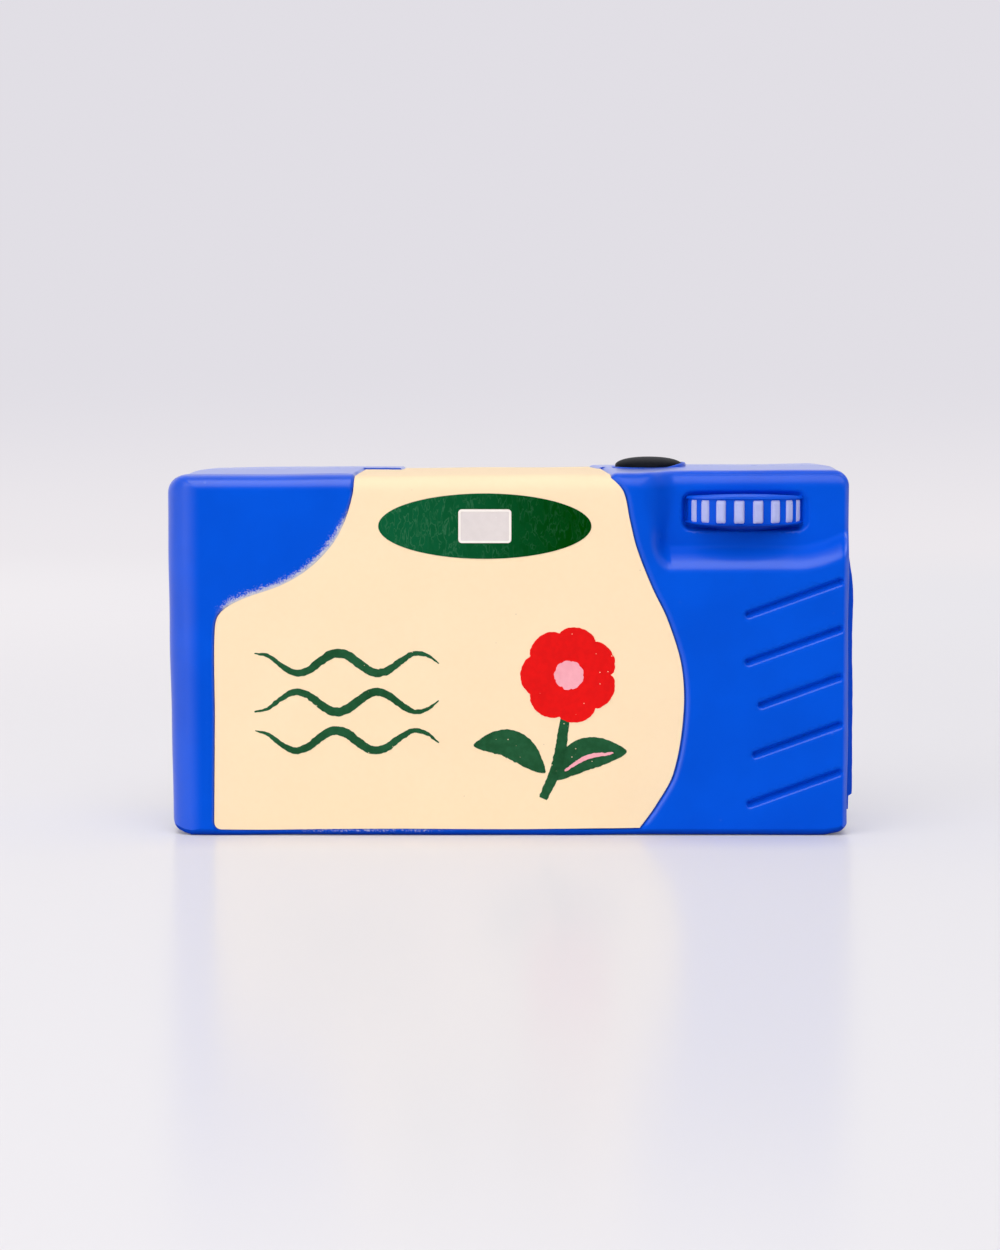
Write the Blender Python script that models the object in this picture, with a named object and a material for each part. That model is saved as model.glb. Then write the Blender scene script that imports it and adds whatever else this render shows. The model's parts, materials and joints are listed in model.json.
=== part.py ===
"""Squeeze toy of slow foam in the shape of a pocket film camera, standing on its base.

The side with the eyepiece and the film wheel faces -Y, and the lens side faces +Y. Units are metres,
+Z is up, and the origin is at the middle of the base.
"""

import math
from collections import namedtuple

import bmesh
import bpy
from mathutils import Vector
from mathutils.geometry import interpolate_bezier

# Foam body. Its two halves meet at a parting plane, where it is widest.
BODY_WIDTH = 0.117
BODY_HEIGHT = 0.061
EYEPIECE_DEPTH = 0.017
LENS_DEPTH = 0.017
CORNER_RADIUS = 0.004
SKIN = 0.0018
GAP = 0.0003
EYEPIECE_FILLETS = {"right": 0.0013, "top": 0.0028, "left": 0.0050, "bottom": 0.0012}
EYEPIECE_DRAFT = {"right": 0.0022, "top": 0.0004, "left": 0.0010, "bottom": 0.0}
LENS_FILLETS = {"right": 0.0030, "top": 0.0028, "left": 0.0030, "bottom": 0.0012}
LENS_DRAFT = {"right": 0.0012, "top": 0.0004, "left": 0.0012, "bottom": 0.0}

# Bay for the film wheel: a step down at the top right of the eyepiece side
BAY_WIDTH = 0.0347
BAY_HEIGHT = 0.0165
BAY_DEPTH = 0.0030
BAY_WALL_RUN = 0.0020
BAY_LEDGE_RUN = 0.0036
BAY_CORNER = 0.0025

# Film wheel, a flattened drum with painted ribs, and the pocket that it stands in
WHEEL_FROM_END = 0.0196
WHEEL_FROM_TOP = 0.00675
WHEEL_WIDTH = 0.0200
WHEEL_HEIGHT = 0.0057
WHEEL_SINK = 0.0011
WHEEL_RIM = 0.0006
RIB_COUNT = 8
RIB_PITCH = math.radians(18.2)
RIB_TURN = math.radians(3)
RIB_SPREAD = math.radians(10.5)
RIB_HEIGHT = 0.0039
RIB_THICK = 0.0005
POCKET_SIDE_MARGIN = 0.00065
POCKET_END_MARGIN = 0.0007
POCKET_DEPTH = 0.0026
POCKET_CORNER = 0.0010

# Grip grooves under the bay
GROOVE_WIDTH = 0.0015
GROOVE_DEPTH = 0.0007
GROOVE_END_FLAT = 0.00015
GROOVE_PITCH = 0.0080
GROOVE_SLOPE = math.radians(20)
GROOVE_FROM_END = 0.0038
GROOVE_FROM_TOP = 0.0181
GROOVE_FROM_BASE = 0.0030
GROOVE_REACHES = (0.0162, 0.0162, 0.0140, 0.0150, 0.0160)

# Cream coat. Its neck crosses the top edge, and its edge below runs through places measured from the neck
# or an end, and from the top or the base.
COAT_SINK = 0.00030
COAT_THICK = 0.00050
NECK_FROM_END = 0.06325
NECK_WIDTH = 0.0431
NECK_TAPER_LEFT = 0.0080
NECK_TAPER_RIGHT = 0.0036
NECK_HEIGHT = 0.0164
NECK_EDGES = {"left": ((0.0003, 0.0038), (0.0040, 0.0124)), "right": ((0.0021, 0.0038), (0.0043, 0.0128))}
SHOULDER_LEFT = ((0.0200, 0.0189), (0.0112, 0.0220), (0.00875, 0.0269))
FLANK_RIGHT = ((0.0322, 0.0246),)
BELLY_RIGHT = ((0.02955, 0.0205), (0.0313, 0.0104), (0.0360, 0.0020))

# Printed finder on each side of the neck
FINDER_FROM_TOP = 0.0091
FINDER_HEIGHT = 0.0109
FINDER_SIDE_MARGIN = 0.0038
WINDOW_WIDTH = 0.0091
WINDOW_HEIGHT = 0.0059
WINDOW_CORNER = 0.0007

# Shutter button on the top
SHUTTER_FROM_END = 0.0355
SHUTTER_RADIUS = 0.0057
SHUTTER_TAPER = 0.0004
SHUTTER_ROOT = 0.0030
SHUTTER_RISE = 0.0007
CAP_EDGE = 0.0005
CAP_CROWN = 0.0007

# Lens side
LENS_RADIUS = 0.0130
LENS_PROUD = 0.0040
LENS_FROM_TOP = 0.0345
LENS_WALL = 0.0038
LENS_EASE = 0.00125
GLASS_CROWN = 0.0018
FLASH_FROM_TOP = 0.0105
FLASH_END_MARGIN = 0.0080
FLASH_COAT_MARGIN = 0.0061
FLASH_HEIGHT = 0.0090
FLASH_CORNER = 0.0012

# Fineness of curved outlines
CORNER_STEPS = 5
FILLET_STEPS = 5
CURVE_STEPS = 5
CROWN_STEPS = 5
CROWN_REACH = math.radians(83)
RIB_STEPS = 3
ROUND_STEPS = 40

# Derived places
RIGHT_END = BODY_WIDTH / 2
LEFT_END = -BODY_WIDTH / 2
PARTING_Y = (EYEPIECE_DEPTH - LENS_DEPTH - LENS_PROUD) / 2
FACE = {"eyepiece": PARTING_Y - EYEPIECE_DEPTH, "lens": PARTING_Y + LENS_DEPTH}
DEPTH = {"eyepiece": EYEPIECE_DEPTH, "lens": LENS_DEPTH}
INWARD = {"eyepiece": 1, "lens": -1}
FILLETS = {"eyepiece": EYEPIECE_FILLETS, "lens": LENS_FILLETS}
DRAFT = {"eyepiece": EYEPIECE_DRAFT, "lens": LENS_DRAFT}
SIDES = ("right", "top", "left", "bottom")
OUTWARD = dict(zip(SIDES, (Vector((1, 0)), Vector((0, 1)), Vector((-1, 0)), Vector((0, -1)))))
COAT_BED = COAT_SINK + COAT_THICK + GAP
COAT_BOTTOM = COAT_BED + GAP
BAY_OPEN_X = RIGHT_END - BAY_WIDTH
BAY_OPEN_Z = BODY_HEIGHT - BAY_HEIGHT
BAY_FLOOR = FACE["eyepiece"] + BAY_DEPTH
WHEEL_X = RIGHT_END - WHEEL_FROM_END
WHEEL_Z = BODY_HEIGHT - WHEEL_FROM_TOP
FINDER_Z = BODY_HEIGHT - FINDER_FROM_TOP
SHUTTER_X = RIGHT_END - SHUTTER_FROM_END
LENS_Z = BODY_HEIGHT - LENS_FROM_TOP
LEAST_RADIUS = 0.0004
OVERRUN = 0.006

Station = namedtuple("Station", "one two turn place in_bay")


def add_object(name, bm):
    """A named object from a bmesh, welded, with its faces turned outward and each of them flat."""
    bmesh.ops.remove_doubles(bm, verts=bm.verts, dist=1e-7)
    bmesh.ops.recalc_face_normals(bm, faces=bm.faces)
    bmesh.ops.triangulate(bm, faces=bm.faces)
    mesh = bpy.data.meshes.new(name)
    bm.to_mesh(mesh)
    bm.free()
    mesh.shade_smooth()
    mesh.set_sharp_from_angle(angle=math.radians(35))
    obj = bpy.data.objects.new(name, mesh)
    bpy.context.collection.objects.link(obj)
    return obj


def bridge(bm, one, two):
    """Quads between two closed rings of vertices."""
    for k in range(len(one)):
        bm.faces.new((one[k - 1], one[k], two[k], two[k - 1]))


def from_loops(name, loops, closed=False):
    """A solid through loops of points, capped at both ends, or running round to its start."""
    bm = bmesh.new()
    rings = [[bm.verts.new(point) for point in loop] for loop in loops]
    for one, two in zip(rings, rings[1:]):
        bridge(bm, one, two)
    if closed:
        bridge(bm, rings[-1], rings[0])
    else:
        bm.faces.new(rings[0])
        bm.faces.new(rings[-1])
    return add_object(name, bm)


def prism(name, outline, near, far):
    """A solid with one outline in X and Z, from one depth to another."""
    return from_loops(name, [[Vector((x, y, z)) for x, z in outline] for y in (near, far)])


def turned(name, profile, centre, axis, closed=False):
    """A round solid from a profile of (radius, place along the axis)."""
    loops = []
    for radius, along in profile:
        loop = []
        for k in range(ROUND_STEPS):
            angle = 2 * math.pi * k / ROUND_STEPS
            one, two = radius * math.cos(angle), radius * math.sin(angle)
            offset = (one, along, two) if axis == "y" else (one, two, along)
            loop.append(Vector(centre) + Vector(offset))
        loops.append(loop)
    return from_loops(name, loops, closed)


def rounded_rectangle(x, z, width, height, radius):
    """Outline of a rectangle with round corners about a middle point."""
    points = []
    for corner in range(4):
        start = corner * math.pi / 2
        side = (1, -1, -1, 1)[corner]
        rise = (1, 1, -1, -1)[corner]
        for k in range(CORNER_STEPS + 1):
            angle = start + k / CORNER_STEPS * math.pi / 2
            points.append((x + side * (width / 2 - radius) + radius * math.cos(angle),
                           z + rise * (height / 2 - radius) + radius * math.sin(angle)))
    return points


def ellipse(x, z, width, height):
    """Outline of an ellipse about a middle point."""
    turns = [2 * math.pi * k / ROUND_STEPS for k in range(ROUND_STEPS)]
    return [(x + width / 2 * math.cos(t), z + height / 2 * math.sin(t)) for t in turns]


def grown(outline, distance):
    """An anticlockwise outline moved outward by a distance."""
    moved = []
    for k, (x, z) in enumerate(outline):
        back = Vector(outline[k - 1])
        ahead = Vector(outline[(k + 1) % len(outline)])
        along = (ahead - back).normalized()
        moved.append((x + along.y * distance, z - along.x * distance))
    return moved


def helper(obj):
    """Marks an object as a cutter that is no piece of the toy."""
    obj.hide_render = True
    obj.display_type = "WIRE"
    return obj


def combine(obj, other, operation):
    """Adds a live Boolean to an object."""
    modifier = obj.modifiers.new(f"{operation.lower()} {other.name}", "BOOLEAN")
    modifier.operation = operation
    modifier.solver = "EXACT"
    modifier.object = other


def stations(inset):
    """Places round the body's outline, anticlockwise from the upper right corner."""
    reach_x, low, high = RIGHT_END - CORNER_RADIUS, CORNER_RADIUS, BODY_HEIGHT - CORNER_RADIUS
    ease_x, ease_low, ease_high = reach_x - CORNER_RADIUS, low + CORNER_RADIUS, high - CORNER_RADIUS
    open_x, open_z = BAY_OPEN_X - inset, BAY_OPEN_Z - inset
    on_side = {
        "top": ((ease_x, True), (open_x + BAY_WALL_RUN, True), (open_x, False), (-ease_x, False)),
        "left": ((ease_high, False), (ease_low, False)),
        "bottom": ((-ease_x, False), (ease_x, False)),
        "right": ((ease_low, False), (open_z, False), (open_z + BAY_LEDGE_RUN, True), (ease_high, True)),
    }
    found = []
    for corner, one in enumerate(SIDES):
        two = SIDES[(corner + 1) % 4]
        for k in range(CORNER_STEPS + 1):
            turn = k / CORNER_STEPS * math.pi / 2
            found.append(Station(one, two, turn, None, corner == 0))
        for place, in_bay in on_side[two]:
            found.append(Station(two, two, 0, place, in_bay))
    return found


def outline_point(station, moved, radius):
    """Where a station lies in X and Z when each side has moved in by its own distance."""
    edge = {"right": RIGHT_END, "top": BODY_HEIGHT, "left": LEFT_END, "bottom": 0}
    for side, distance in moved.items():
        edge[side] -= sum(OUTWARD[side]) * distance
    if station.place is not None:
        across = station.one in ("top", "bottom")
        return (station.place, edge[station.one]) if across else (edge[station.one], station.place)
    one, two = OUTWARD[station.one], OUTWARD[station.two]
    normal = one * math.cos(station.turn) + two * math.sin(station.turn)
    x_side, z_side = (station.one, station.two) if one.x else (station.two, station.one)
    centre = Vector((edge[x_side], edge[z_side])) - (one + two) * radius
    return tuple(centre + normal * radius)


def body_point(station, half, inset, turn):
    """Where the body's surface is at a station, from the face (turn 0) round its fillet to the side."""
    fillets = {side: max(FILLETS[half][side] - inset, LEAST_RADIUS) for side in (station.one, station.two)}
    share = math.sin(station.turn) ** 2
    fillet = fillets[station.one] * (1 - share) + fillets[station.two] * share
    deep = inset + fillet * (1 - math.cos(turn))
    if half == "eyepiece" and station.in_bay:
        deep += BAY_DEPTH
    moved = {}
    for side in fillets:
        lean = DRAFT[half][side] * (1 - deep / DEPTH[half])
        moved[side] = inset + fillets[side] * (1 - math.sin(turn)) + lean
    tight = sum(fillets.values()) / len(fillets) * (1 - math.sin(turn))
    x, z = outline_point(station, moved, max(CORNER_RADIUS - inset - tight, LEAST_RADIUS))
    return Vector((x, FACE[half] + INWARD[half] * deep, z))


def parting_point(station, inset, y):
    """Where the body's surface is at a station on the parting plane."""
    moved = {station.one: inset, station.two: inset}
    x, z = outline_point(station, moved, max(CORNER_RADIUS - inset, LEAST_RADIUS))
    return Vector((x, y, z))


def bay_path(inset, x, z, radius, deep):
    """Points round the lower left corner of the bay, from its wall to its ledge."""
    path = []
    for k in range(CORNER_STEPS + 1):
        angle = math.pi * (1 + k / CORNER_STEPS / 2)
        path.append(Vector((x + radius + (radius + inset) * math.cos(angle), FACE["eyepiece"] + inset + deep,
                            z + radius + (radius + inset) * math.sin(angle))))
    return path


def body(name, inset, halves=("eyepiece", "lens")):
    """The foam form, or one half of it, lying inset inside its outer surface."""
    places = stations(inset)
    turns = [k / FILLET_STEPS * math.pi / 2 for k in range(FILLET_STEPS + 1)]
    bm = bmesh.new()
    rings = []
    for half in ("eyepiece", "lens"):
        if half in halves:
            loops = [[body_point(s, half, inset, turn) for s in places] for turn in turns]
            rings += loops if half == "eyepiece" else loops[::-1]
        else:
            end = PARTING_Y - GAP / 2 if half == "lens" else PARTING_Y + GAP / 2
            loop = [parting_point(s, inset, end) for s in places]
            rings = rings + [loop] if half == "lens" else [loop] + rings
    if len(halves) == 2:
        rings.insert(FILLET_STEPS + 1, [parting_point(s, inset, PARTING_Y) for s in places])
    rings = [[bm.verts.new(point) for point in ring] for ring in rings]
    for one, two in zip(rings, rings[1:]):
        bridge(bm, one, two)
    bm.faces.new(rings[-1])
    first = rings[0]
    if "eyepiece" not in halves:
        bm.faces.new(first)
        return add_object(name, bm)
    ends = [k for k, s in enumerate(places) if s.in_bay != places[(k + 1) % len(places)].in_bay]
    floor_top, open_top = ends[0], ends[0] + 1
    open_right, floor_right = ends[1], ends[1] + 1
    wall = bay_path(inset, BAY_OPEN_X, BAY_OPEN_Z, BAY_CORNER, 0)
    foot = bay_path(inset, BAY_OPEN_X + BAY_WALL_RUN, BAY_OPEN_Z + BAY_LEDGE_RUN, BAY_CORNER, BAY_DEPTH)
    wall = [bm.verts.new(point) for point in wall]
    foot = [bm.verts.new(point) for point in foot]
    bm.faces.new(first[open_top:open_right + 1] + wall[::-1])
    bm.faces.new(first[floor_right:] + first[:floor_top + 1] + foot)
    upper = [first[open_top]] + wall + [first[open_right]]
    lower = [first[floor_top]] + foot + [first[floor_right]]
    for k in range(len(upper) - 1):
        bm.faces.new((upper[k], upper[k + 1], lower[k + 1], lower[k]))
    return add_object(name, bm)


def smooth_run(anchors, before, after):
    """Points along a smooth curve through anchors, leaving and arriving along its neighbours."""
    ends = [Vector(p) for p in (before, *anchors, after)]
    points = []
    for k in range(1, len(ends) - 2):
        start, stop = ends[k], ends[k + 1]
        handle = (stop - start).length / 3
        leave = start + (stop - ends[k - 1]).normalized() * handle
        arrive = stop - (ends[k + 2] - start).normalized() * handle
        span = interpolate_bezier(start, leave, arrive, stop, CURVE_STEPS + 1)
        points += [(p[0], p[1]) for p in span[:-1]]
    return points + [tuple(ends[-2])]


def neck(half):
    """Left and right edge of the coat where it crosses the top edge of a face."""
    middle = RIGHT_END - NECK_FROM_END
    left, right = middle - NECK_WIDTH / 2, middle + NECK_WIDTH / 2
    if half == "lens":
        return left + NECK_TAPER_LEFT, right - NECK_TAPER_RIGHT
    return left, right


def neck_run(half, side):
    """Places down one edge of the coat's neck, from the top edge of a face to the foot of the neck."""
    number, outward = (0, -1) if side == "left" else (1, 1)
    here, wide = neck(half)[number], neck("eyepiece")[number]
    run = [(here, BODY_HEIGHT)]
    for out, down in NECK_EDGES[side]:
        share = max(1 - down / NECK_HEIGHT, 0)
        run.append((wide + (here - wide) * share + outward * out, BODY_HEIGHT - down))
    return run


def coat_outline(half):
    """The edge of the coat, anticlockwise seen from the eyepiece side."""
    left, right = neck(half)
    top = BODY_HEIGHT + OVERRUN
    left_run = neck_run(half, "left")
    left_run += [(LEFT_END + out, BODY_HEIGHT - down) for out, down in SHOULDER_LEFT]
    right_run = neck_run(half, "right")
    right_run += [(RIGHT_END - out, BODY_HEIGHT - down) for out, down in FLANK_RIGHT]
    right_run += [(RIGHT_END - out, up) for out, up in BELLY_RIGHT]
    right_run.reverse()
    left_foot = (left_run[-1][0], COAT_BOTTOM)
    right_foot = (right_run[0][0] - COAT_THICK, COAT_BOTTOM)
    edge = smooth_run(right_run, right_foot, (right, top))
    edge += [(right, top), (left, top)]
    edge += smooth_run(left_run, (left, top), left_foot)
    return edge + [left_foot, right_foot]


def coat_column(name, distance):
    """The coat's outline carried right through the body, moved outward by a distance."""
    near, far = FACE["eyepiece"] - OVERRUN, FACE["lens"] + OVERRUN
    loops = []
    for half, y in (("eyepiece", near), ("lens", far)):
        loops.append([Vector((x, y, z)) for x, z in grown(coat_outline(half), distance)])
    return helper(from_loops(name, loops))


def plate(name, half, outline, sink, thick):
    """A printed film as a thin plate lying below a face of the body."""
    start = FACE[half] + INWARD[half] * sink
    return prism(name, outline, start, start + INWARD[half] * thick)


def through(name, half, outline, deep=OVERRUN):
    """A cutter with an outline that enters through a face of the body."""
    start = FACE[half] - INWARD[half] * OVERRUN
    return helper(prism(name, outline, start, FACE[half] + INWARD[half] * deep))


def crown(radius, base, rise):
    """Profile of a low dome, from its edge almost to its top."""
    turns = [CROWN_REACH * k / CROWN_STEPS for k in range(CROWN_STEPS + 1)]
    return [(radius * math.cos(t), base + rise * math.sin(t)) for t in turns]


def wheel_ring(shrink, first, last, steps):
    """Points on the wheel's flattened round, from one angle to another about its foremost line."""
    half_width = WHEEL_WIDTH / 2 - shrink
    bulge = BAY_DEPTH + WHEEL_SINK - shrink
    middle = BAY_FLOOR + WHEEL_SINK
    points = []
    for k in range(steps + 1):
        angle = first + (last - first) * k / steps
        points.append((WHEEL_X + half_width * math.sin(angle), middle - bulge * math.cos(angle)))
    return points


def upright(name, outline, low, high):
    """A solid with one outline in X and Y, between two heights."""
    return from_loops(name, [[Vector((x, y, z)) for x, y in outline] for z in (low, high)])


def paint(obj, name, colour, roughness):
    """Gives an object its own plain material."""
    material = bpy.data.materials.new(name)
    material.use_nodes = True
    shader = material.node_tree.nodes["Principled BSDF"]
    shader.inputs["Base Color"].default_value = (*colour, 1)
    shader.inputs["Roughness"].default_value = roughness
    material.diffuse_color = (*colour, 1)
    obj.data.materials.append(material)


for old in list(bpy.data.objects):
    bpy.data.objects.remove(old, do_unlink=True)

# Cutters that several pieces share
cavity = helper(body("cutter_cavity", SKIN))
coat_back = helper(body("cutter_coat_back", COAT_SINK + COAT_THICK))
coat_bed = coat_column("cutter_coat_bed", 0)
combine(coat_bed, helper(body("cutter_bed_floor", COAT_BED)), "DIFFERENCE")
coat_edge = coat_column("cutter_coat_edge", -GAP)

pocket_width = WHEEL_WIDTH + 2 * POCKET_END_MARGIN
pocket_height = WHEEL_HEIGHT + 2 * POCKET_SIDE_MARGIN
pocket_outline = rounded_rectangle(WHEEL_X, WHEEL_Z, pocket_width, pocket_height, POCKET_CORNER)
pocket = through("cutter_pocket", "eyepiece", pocket_outline, BAY_DEPTH + POCKET_DEPTH)
pocket_walls = []
for extra in (SKIN, SKIN + GAP):
    wall_low = WHEEL_Z - pocket_height / 2 - extra
    wall_high = BODY_HEIGHT + OVERRUN
    outline = rounded_rectangle(WHEEL_X, (wall_low + wall_high) / 2, pocket_width + 2 * extra,
                                wall_high - wall_low, POCKET_CORNER + extra)
    pocket_walls.append(through(f"cutter_pocket_wall_{len(pocket_walls)}", "eyepiece", outline,
                                BAY_DEPTH + POCKET_DEPTH + extra))
combine(cavity, pocket_walls[0], "DIFFERENCE")

hole_radius = SHUTTER_RADIUS + GAP
hole_foot = BODY_HEIGHT - SKIN - SHUTTER_ROOT - GAP
shutter_hole = helper(turned(
    "cutter_shutter_hole", [(hole_radius, hole_foot), (hole_radius, BODY_HEIGHT + OVERRUN)],
    (SHUTTER_X, PARTING_Y, 0), "z"))

# Foam inside
core = body("foam_core", SKIN + GAP)
combine(core, pocket_walls[1], "DIFFERENCE")
combine(core, shutter_hole, "DIFFERENCE")

# Skin of the eyepiece half, with its bay, wheel pocket, grip grooves and bed for the coat
eyepiece_skin = body("eyepiece_side_skin", 0, ("eyepiece",))
for cutter in (cavity, coat_bed, shutter_hole, pocket):
    combine(eyepiece_skin, cutter, "DIFFERENCE")
groove_top = BODY_HEIGHT - GROOVE_FROM_TOP
for k, reach in enumerate(GROOVE_REACHES):
    end = Vector((RIGHT_END - GROOVE_FROM_END, groove_top - k * GROOVE_PITCH))
    along = Vector((math.cos(GROOVE_SLOPE), math.sin(GROOVE_SLOPE)))
    length = reach / along.x
    middle = end - along * (length / 2)
    if (end - along * length).y < GROOVE_FROM_BASE:
        break
    flat = rounded_rectangle(0, 0, length, GROOVE_WIDTH, (GROOVE_WIDTH - GROOVE_END_FLAT) / 2)
    across = Vector((-along.y, along.x))
    slanted = [tuple(middle + along * x + across * z) for x, z in flat]
    combine(eyepiece_skin, through(f"cutter_groove_{k}", "eyepiece", slanted, GROOVE_DEPTH), "DIFFERENCE")

# Skin of the lens half, with its bed for the coat and a recess for the flash print
lens_skin = body("lens_side_skin", 0, ("lens",))
flash_left = LEFT_END + FLASH_END_MARGIN
flash_right = neck_run("lens", "left")[-1][0] - FLASH_COAT_MARGIN
flash_outline = rounded_rectangle((flash_left + flash_right) / 2, BODY_HEIGHT - FLASH_FROM_TOP,
                                  flash_right - flash_left, FLASH_HEIGHT, FLASH_CORNER)
flash_recess = through("cutter_flash", "lens", grown(flash_outline, GAP), COAT_THICK + GAP)
for cutter in (cavity, coat_bed, shutter_hole, flash_recess):
    combine(lens_skin, cutter, "DIFFERENCE")

# Coat and printed finder of each half
coats = {}
prints = {}
for half in ("eyepiece", "lens"):
    coat = body(f"{half}_side_coat", COAT_SINK, (half,))
    combine(coat, coat_back, "DIFFERENCE")
    combine(coat, coat_edge, "INTERSECT")
    left, right = neck(half)
    middle = (left + right) / 2
    oval = ellipse(middle, FINDER_Z, right - left - 2 * FINDER_SIDE_MARGIN, FINDER_HEIGHT)
    combine(coat, through(f"cutter_{half}_oval", half, grown(oval, GAP)), "DIFFERENCE")
    window = rounded_rectangle(middle, FINDER_Z, WINDOW_WIDTH, WINDOW_HEIGHT, WINDOW_CORNER)
    oval_plate = plate(f"{half}_finder_oval", half, oval, COAT_SINK, COAT_THICK)
    combine(oval_plate, through(f"cutter_{half}_window", half, grown(window, GAP)), "DIFFERENCE")
    window_plate = plate(f"{half}_finder_window", half, window, COAT_SINK, COAT_THICK)
    coats[half] = coat
    prints[half] = (oval_plate, window_plate)

# Film wheel and its painted ribs
low, high = WHEEL_Z - WHEEL_HEIGHT / 2, WHEEL_Z + WHEEL_HEIGHT / 2
drum_shrink = RIB_THICK + GAP
back = BAY_FLOOR + POCKET_DEPTH - GAP
front = wheel_ring(drum_shrink, -math.pi / 2, math.pi / 2, ROUND_STEPS // 2)
rim = wheel_ring(drum_shrink + WHEEL_RIM, -math.pi / 2, math.pi / 2, ROUND_STEPS // 2)
wheel_loops = []
for outline, z in ((rim, low), (front, low + WHEEL_RIM), (front, high - WHEEL_RIM), (rim, high)):
    outline = [(outline[0][0], back)] + outline + [(outline[-1][0], back)]
    wheel_loops.append([Vector((x, y, z)) for x, y in outline])
wheel = from_loops("advance_wheel", wheel_loops)
ribs = []
for k in range(RIB_COUNT):
    angle = (k - (RIB_COUNT - 1) / 2) * RIB_PITCH + RIB_TURN
    outer = wheel_ring(0, angle - RIB_SPREAD / 2, angle + RIB_SPREAD / 2, RIB_STEPS)
    inner = wheel_ring(RIB_THICK, angle - RIB_SPREAD / 2, angle + RIB_SPREAD / 2, RIB_STEPS)
    ribs.append(upright(f"wheel_rib_{k + 1}", outer + inner[::-1], WHEEL_Z - RIB_HEIGHT / 2,
                        WHEEL_Z + RIB_HEIGHT / 2))

# Shutter button: a foam riser with a painted cap
riser_top = BODY_HEIGHT + SHUTTER_RISE
riser = turned(
    "shutter_riser",
    [(SHUTTER_RADIUS, BODY_HEIGHT - SKIN - SHUTTER_ROOT), (SHUTTER_RADIUS, BODY_HEIGHT),
     (SHUTTER_RADIUS - SHUTTER_TAPER, riser_top)],
    (SHUTTER_X, PARTING_Y, 0), "z")
cap_radius = SHUTTER_RADIUS - SHUTTER_TAPER
cap_base = riser_top + GAP
dome = crown(cap_radius, cap_base + CAP_EDGE, CAP_CROWN)
cap = turned("shutter_cap", [(cap_radius, cap_base)] + dome, (SHUTTER_X, PARTING_Y, 0), "z")

# Lens: a raised collar and a painted dome inside it
lens_foot = FACE["lens"] - COAT_BED + GAP
lens_rim = FACE["lens"] + LENS_PROUD
bore = LENS_RADIUS - LENS_WALL
lens_shoulder = lens_rim - LENS_EASE
collar = [(LENS_RADIUS, lens_foot), (LENS_RADIUS, lens_shoulder), (LENS_RADIUS - LENS_EASE, lens_rim),
          (bore + LENS_EASE, lens_rim), (bore, lens_shoulder), (bore, lens_foot)]
lens_ring = turned("lens_ring", collar, (0, 0, LENS_Z), "y", closed=True)
glass_radius = bore - GAP
glass = [(glass_radius, lens_foot)] + crown(glass_radius, lens_shoulder - GLASS_CROWN, GLASS_CROWN)
lens_dome = turned("lens_dome", glass, (0, 0, LENS_Z), "y")
lens_seat = ellipse(0, LENS_Z, 2 * (LENS_RADIUS + GAP), 2 * (LENS_RADIUS + GAP))
combine(coats["lens"], through("cutter_lens_seat", "lens", lens_seat), "DIFFERENCE")
flash = plate("flash_window", "lens", flash_outline, 0, COAT_THICK)

# Materials
BLUE = (0.004, 0.085, 0.72)
CREAM = (0.96, 0.75, 0.47)
GREEN = (0.004, 0.075, 0.014)
PALE = (0.81, 0.72, 0.70)
WHITE = (0.62, 0.64, 0.90)
BLACK = (0.022, 0.024, 0.030)
FOAM = (0.83, 0.80, 0.72)
paint(core, "open_foam", FOAM, 0.9)
for obj in (eyepiece_skin, lens_skin, wheel, riser, lens_ring):
    paint(obj, f"{obj.name}_blue", BLUE, 0.5)
for coat in coats.values():
    paint(coat, f"{coat.name}_cream", CREAM, 0.5)
for oval_plate, window_plate in prints.values():
    paint(oval_plate, f"{oval_plate.name}_green", GREEN, 0.45)
    paint(window_plate, f"{window_plate.name}_pale", PALE, 0.45)
for rib in ribs:
    paint(rib, f"{rib.name}_white", WHITE, 0.5)
paint(flash, "flash_pale", PALE, 0.45)
for obj in (cap, lens_dome):
    paint(obj, f"{obj.name}_black", BLACK, 0.4)

# What moves together: the lens half stays, the eyepiece half is squeezed in, and the cap is pressed down.
lens_pieces = [core, lens_skin, coats["lens"], *prints["lens"], flash, lens_ring, lens_dome, riser]
eyepiece_pieces = [eyepiece_skin, coats["eyepiece"], *prints["eyepiece"], wheel, *ribs]
groups = {
    "lens_half": ((0, PARTING_Y, 0), lens_pieces),
    "eyepiece_half": ((0, FACE["eyepiece"], 0), eyepiece_pieces),
    "shutter": ((SHUTTER_X, PARTING_Y, BODY_HEIGHT), [cap]),
}
bpy.context.view_layer.update()
for name, (place, pieces) in groups.items():
    handle = bpy.data.objects.new(name, None)
    handle.location = place
    bpy.context.collection.objects.link(handle)
    bpy.context.view_layer.update()
    for piece in pieces:
        piece.parent = handle
        piece.matrix_parent_inverse = handle.matrix_world.inverted()
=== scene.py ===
# %% [markdown]
# A squeeze toy in the shape of a pocket film camera. The real one is a single casting of slow foam with a
# dense skin, a sprayed coat and a few printed films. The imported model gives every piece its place, and this
# script gives each of them its surface. It stands with its eyepiece side towards the camera.

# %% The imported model
import json
import math
from collections import namedtuple

import bpy
import numpy as np
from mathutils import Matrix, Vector, kdtree
from mathutils.geometry import delaunay_2d_cdt

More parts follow.
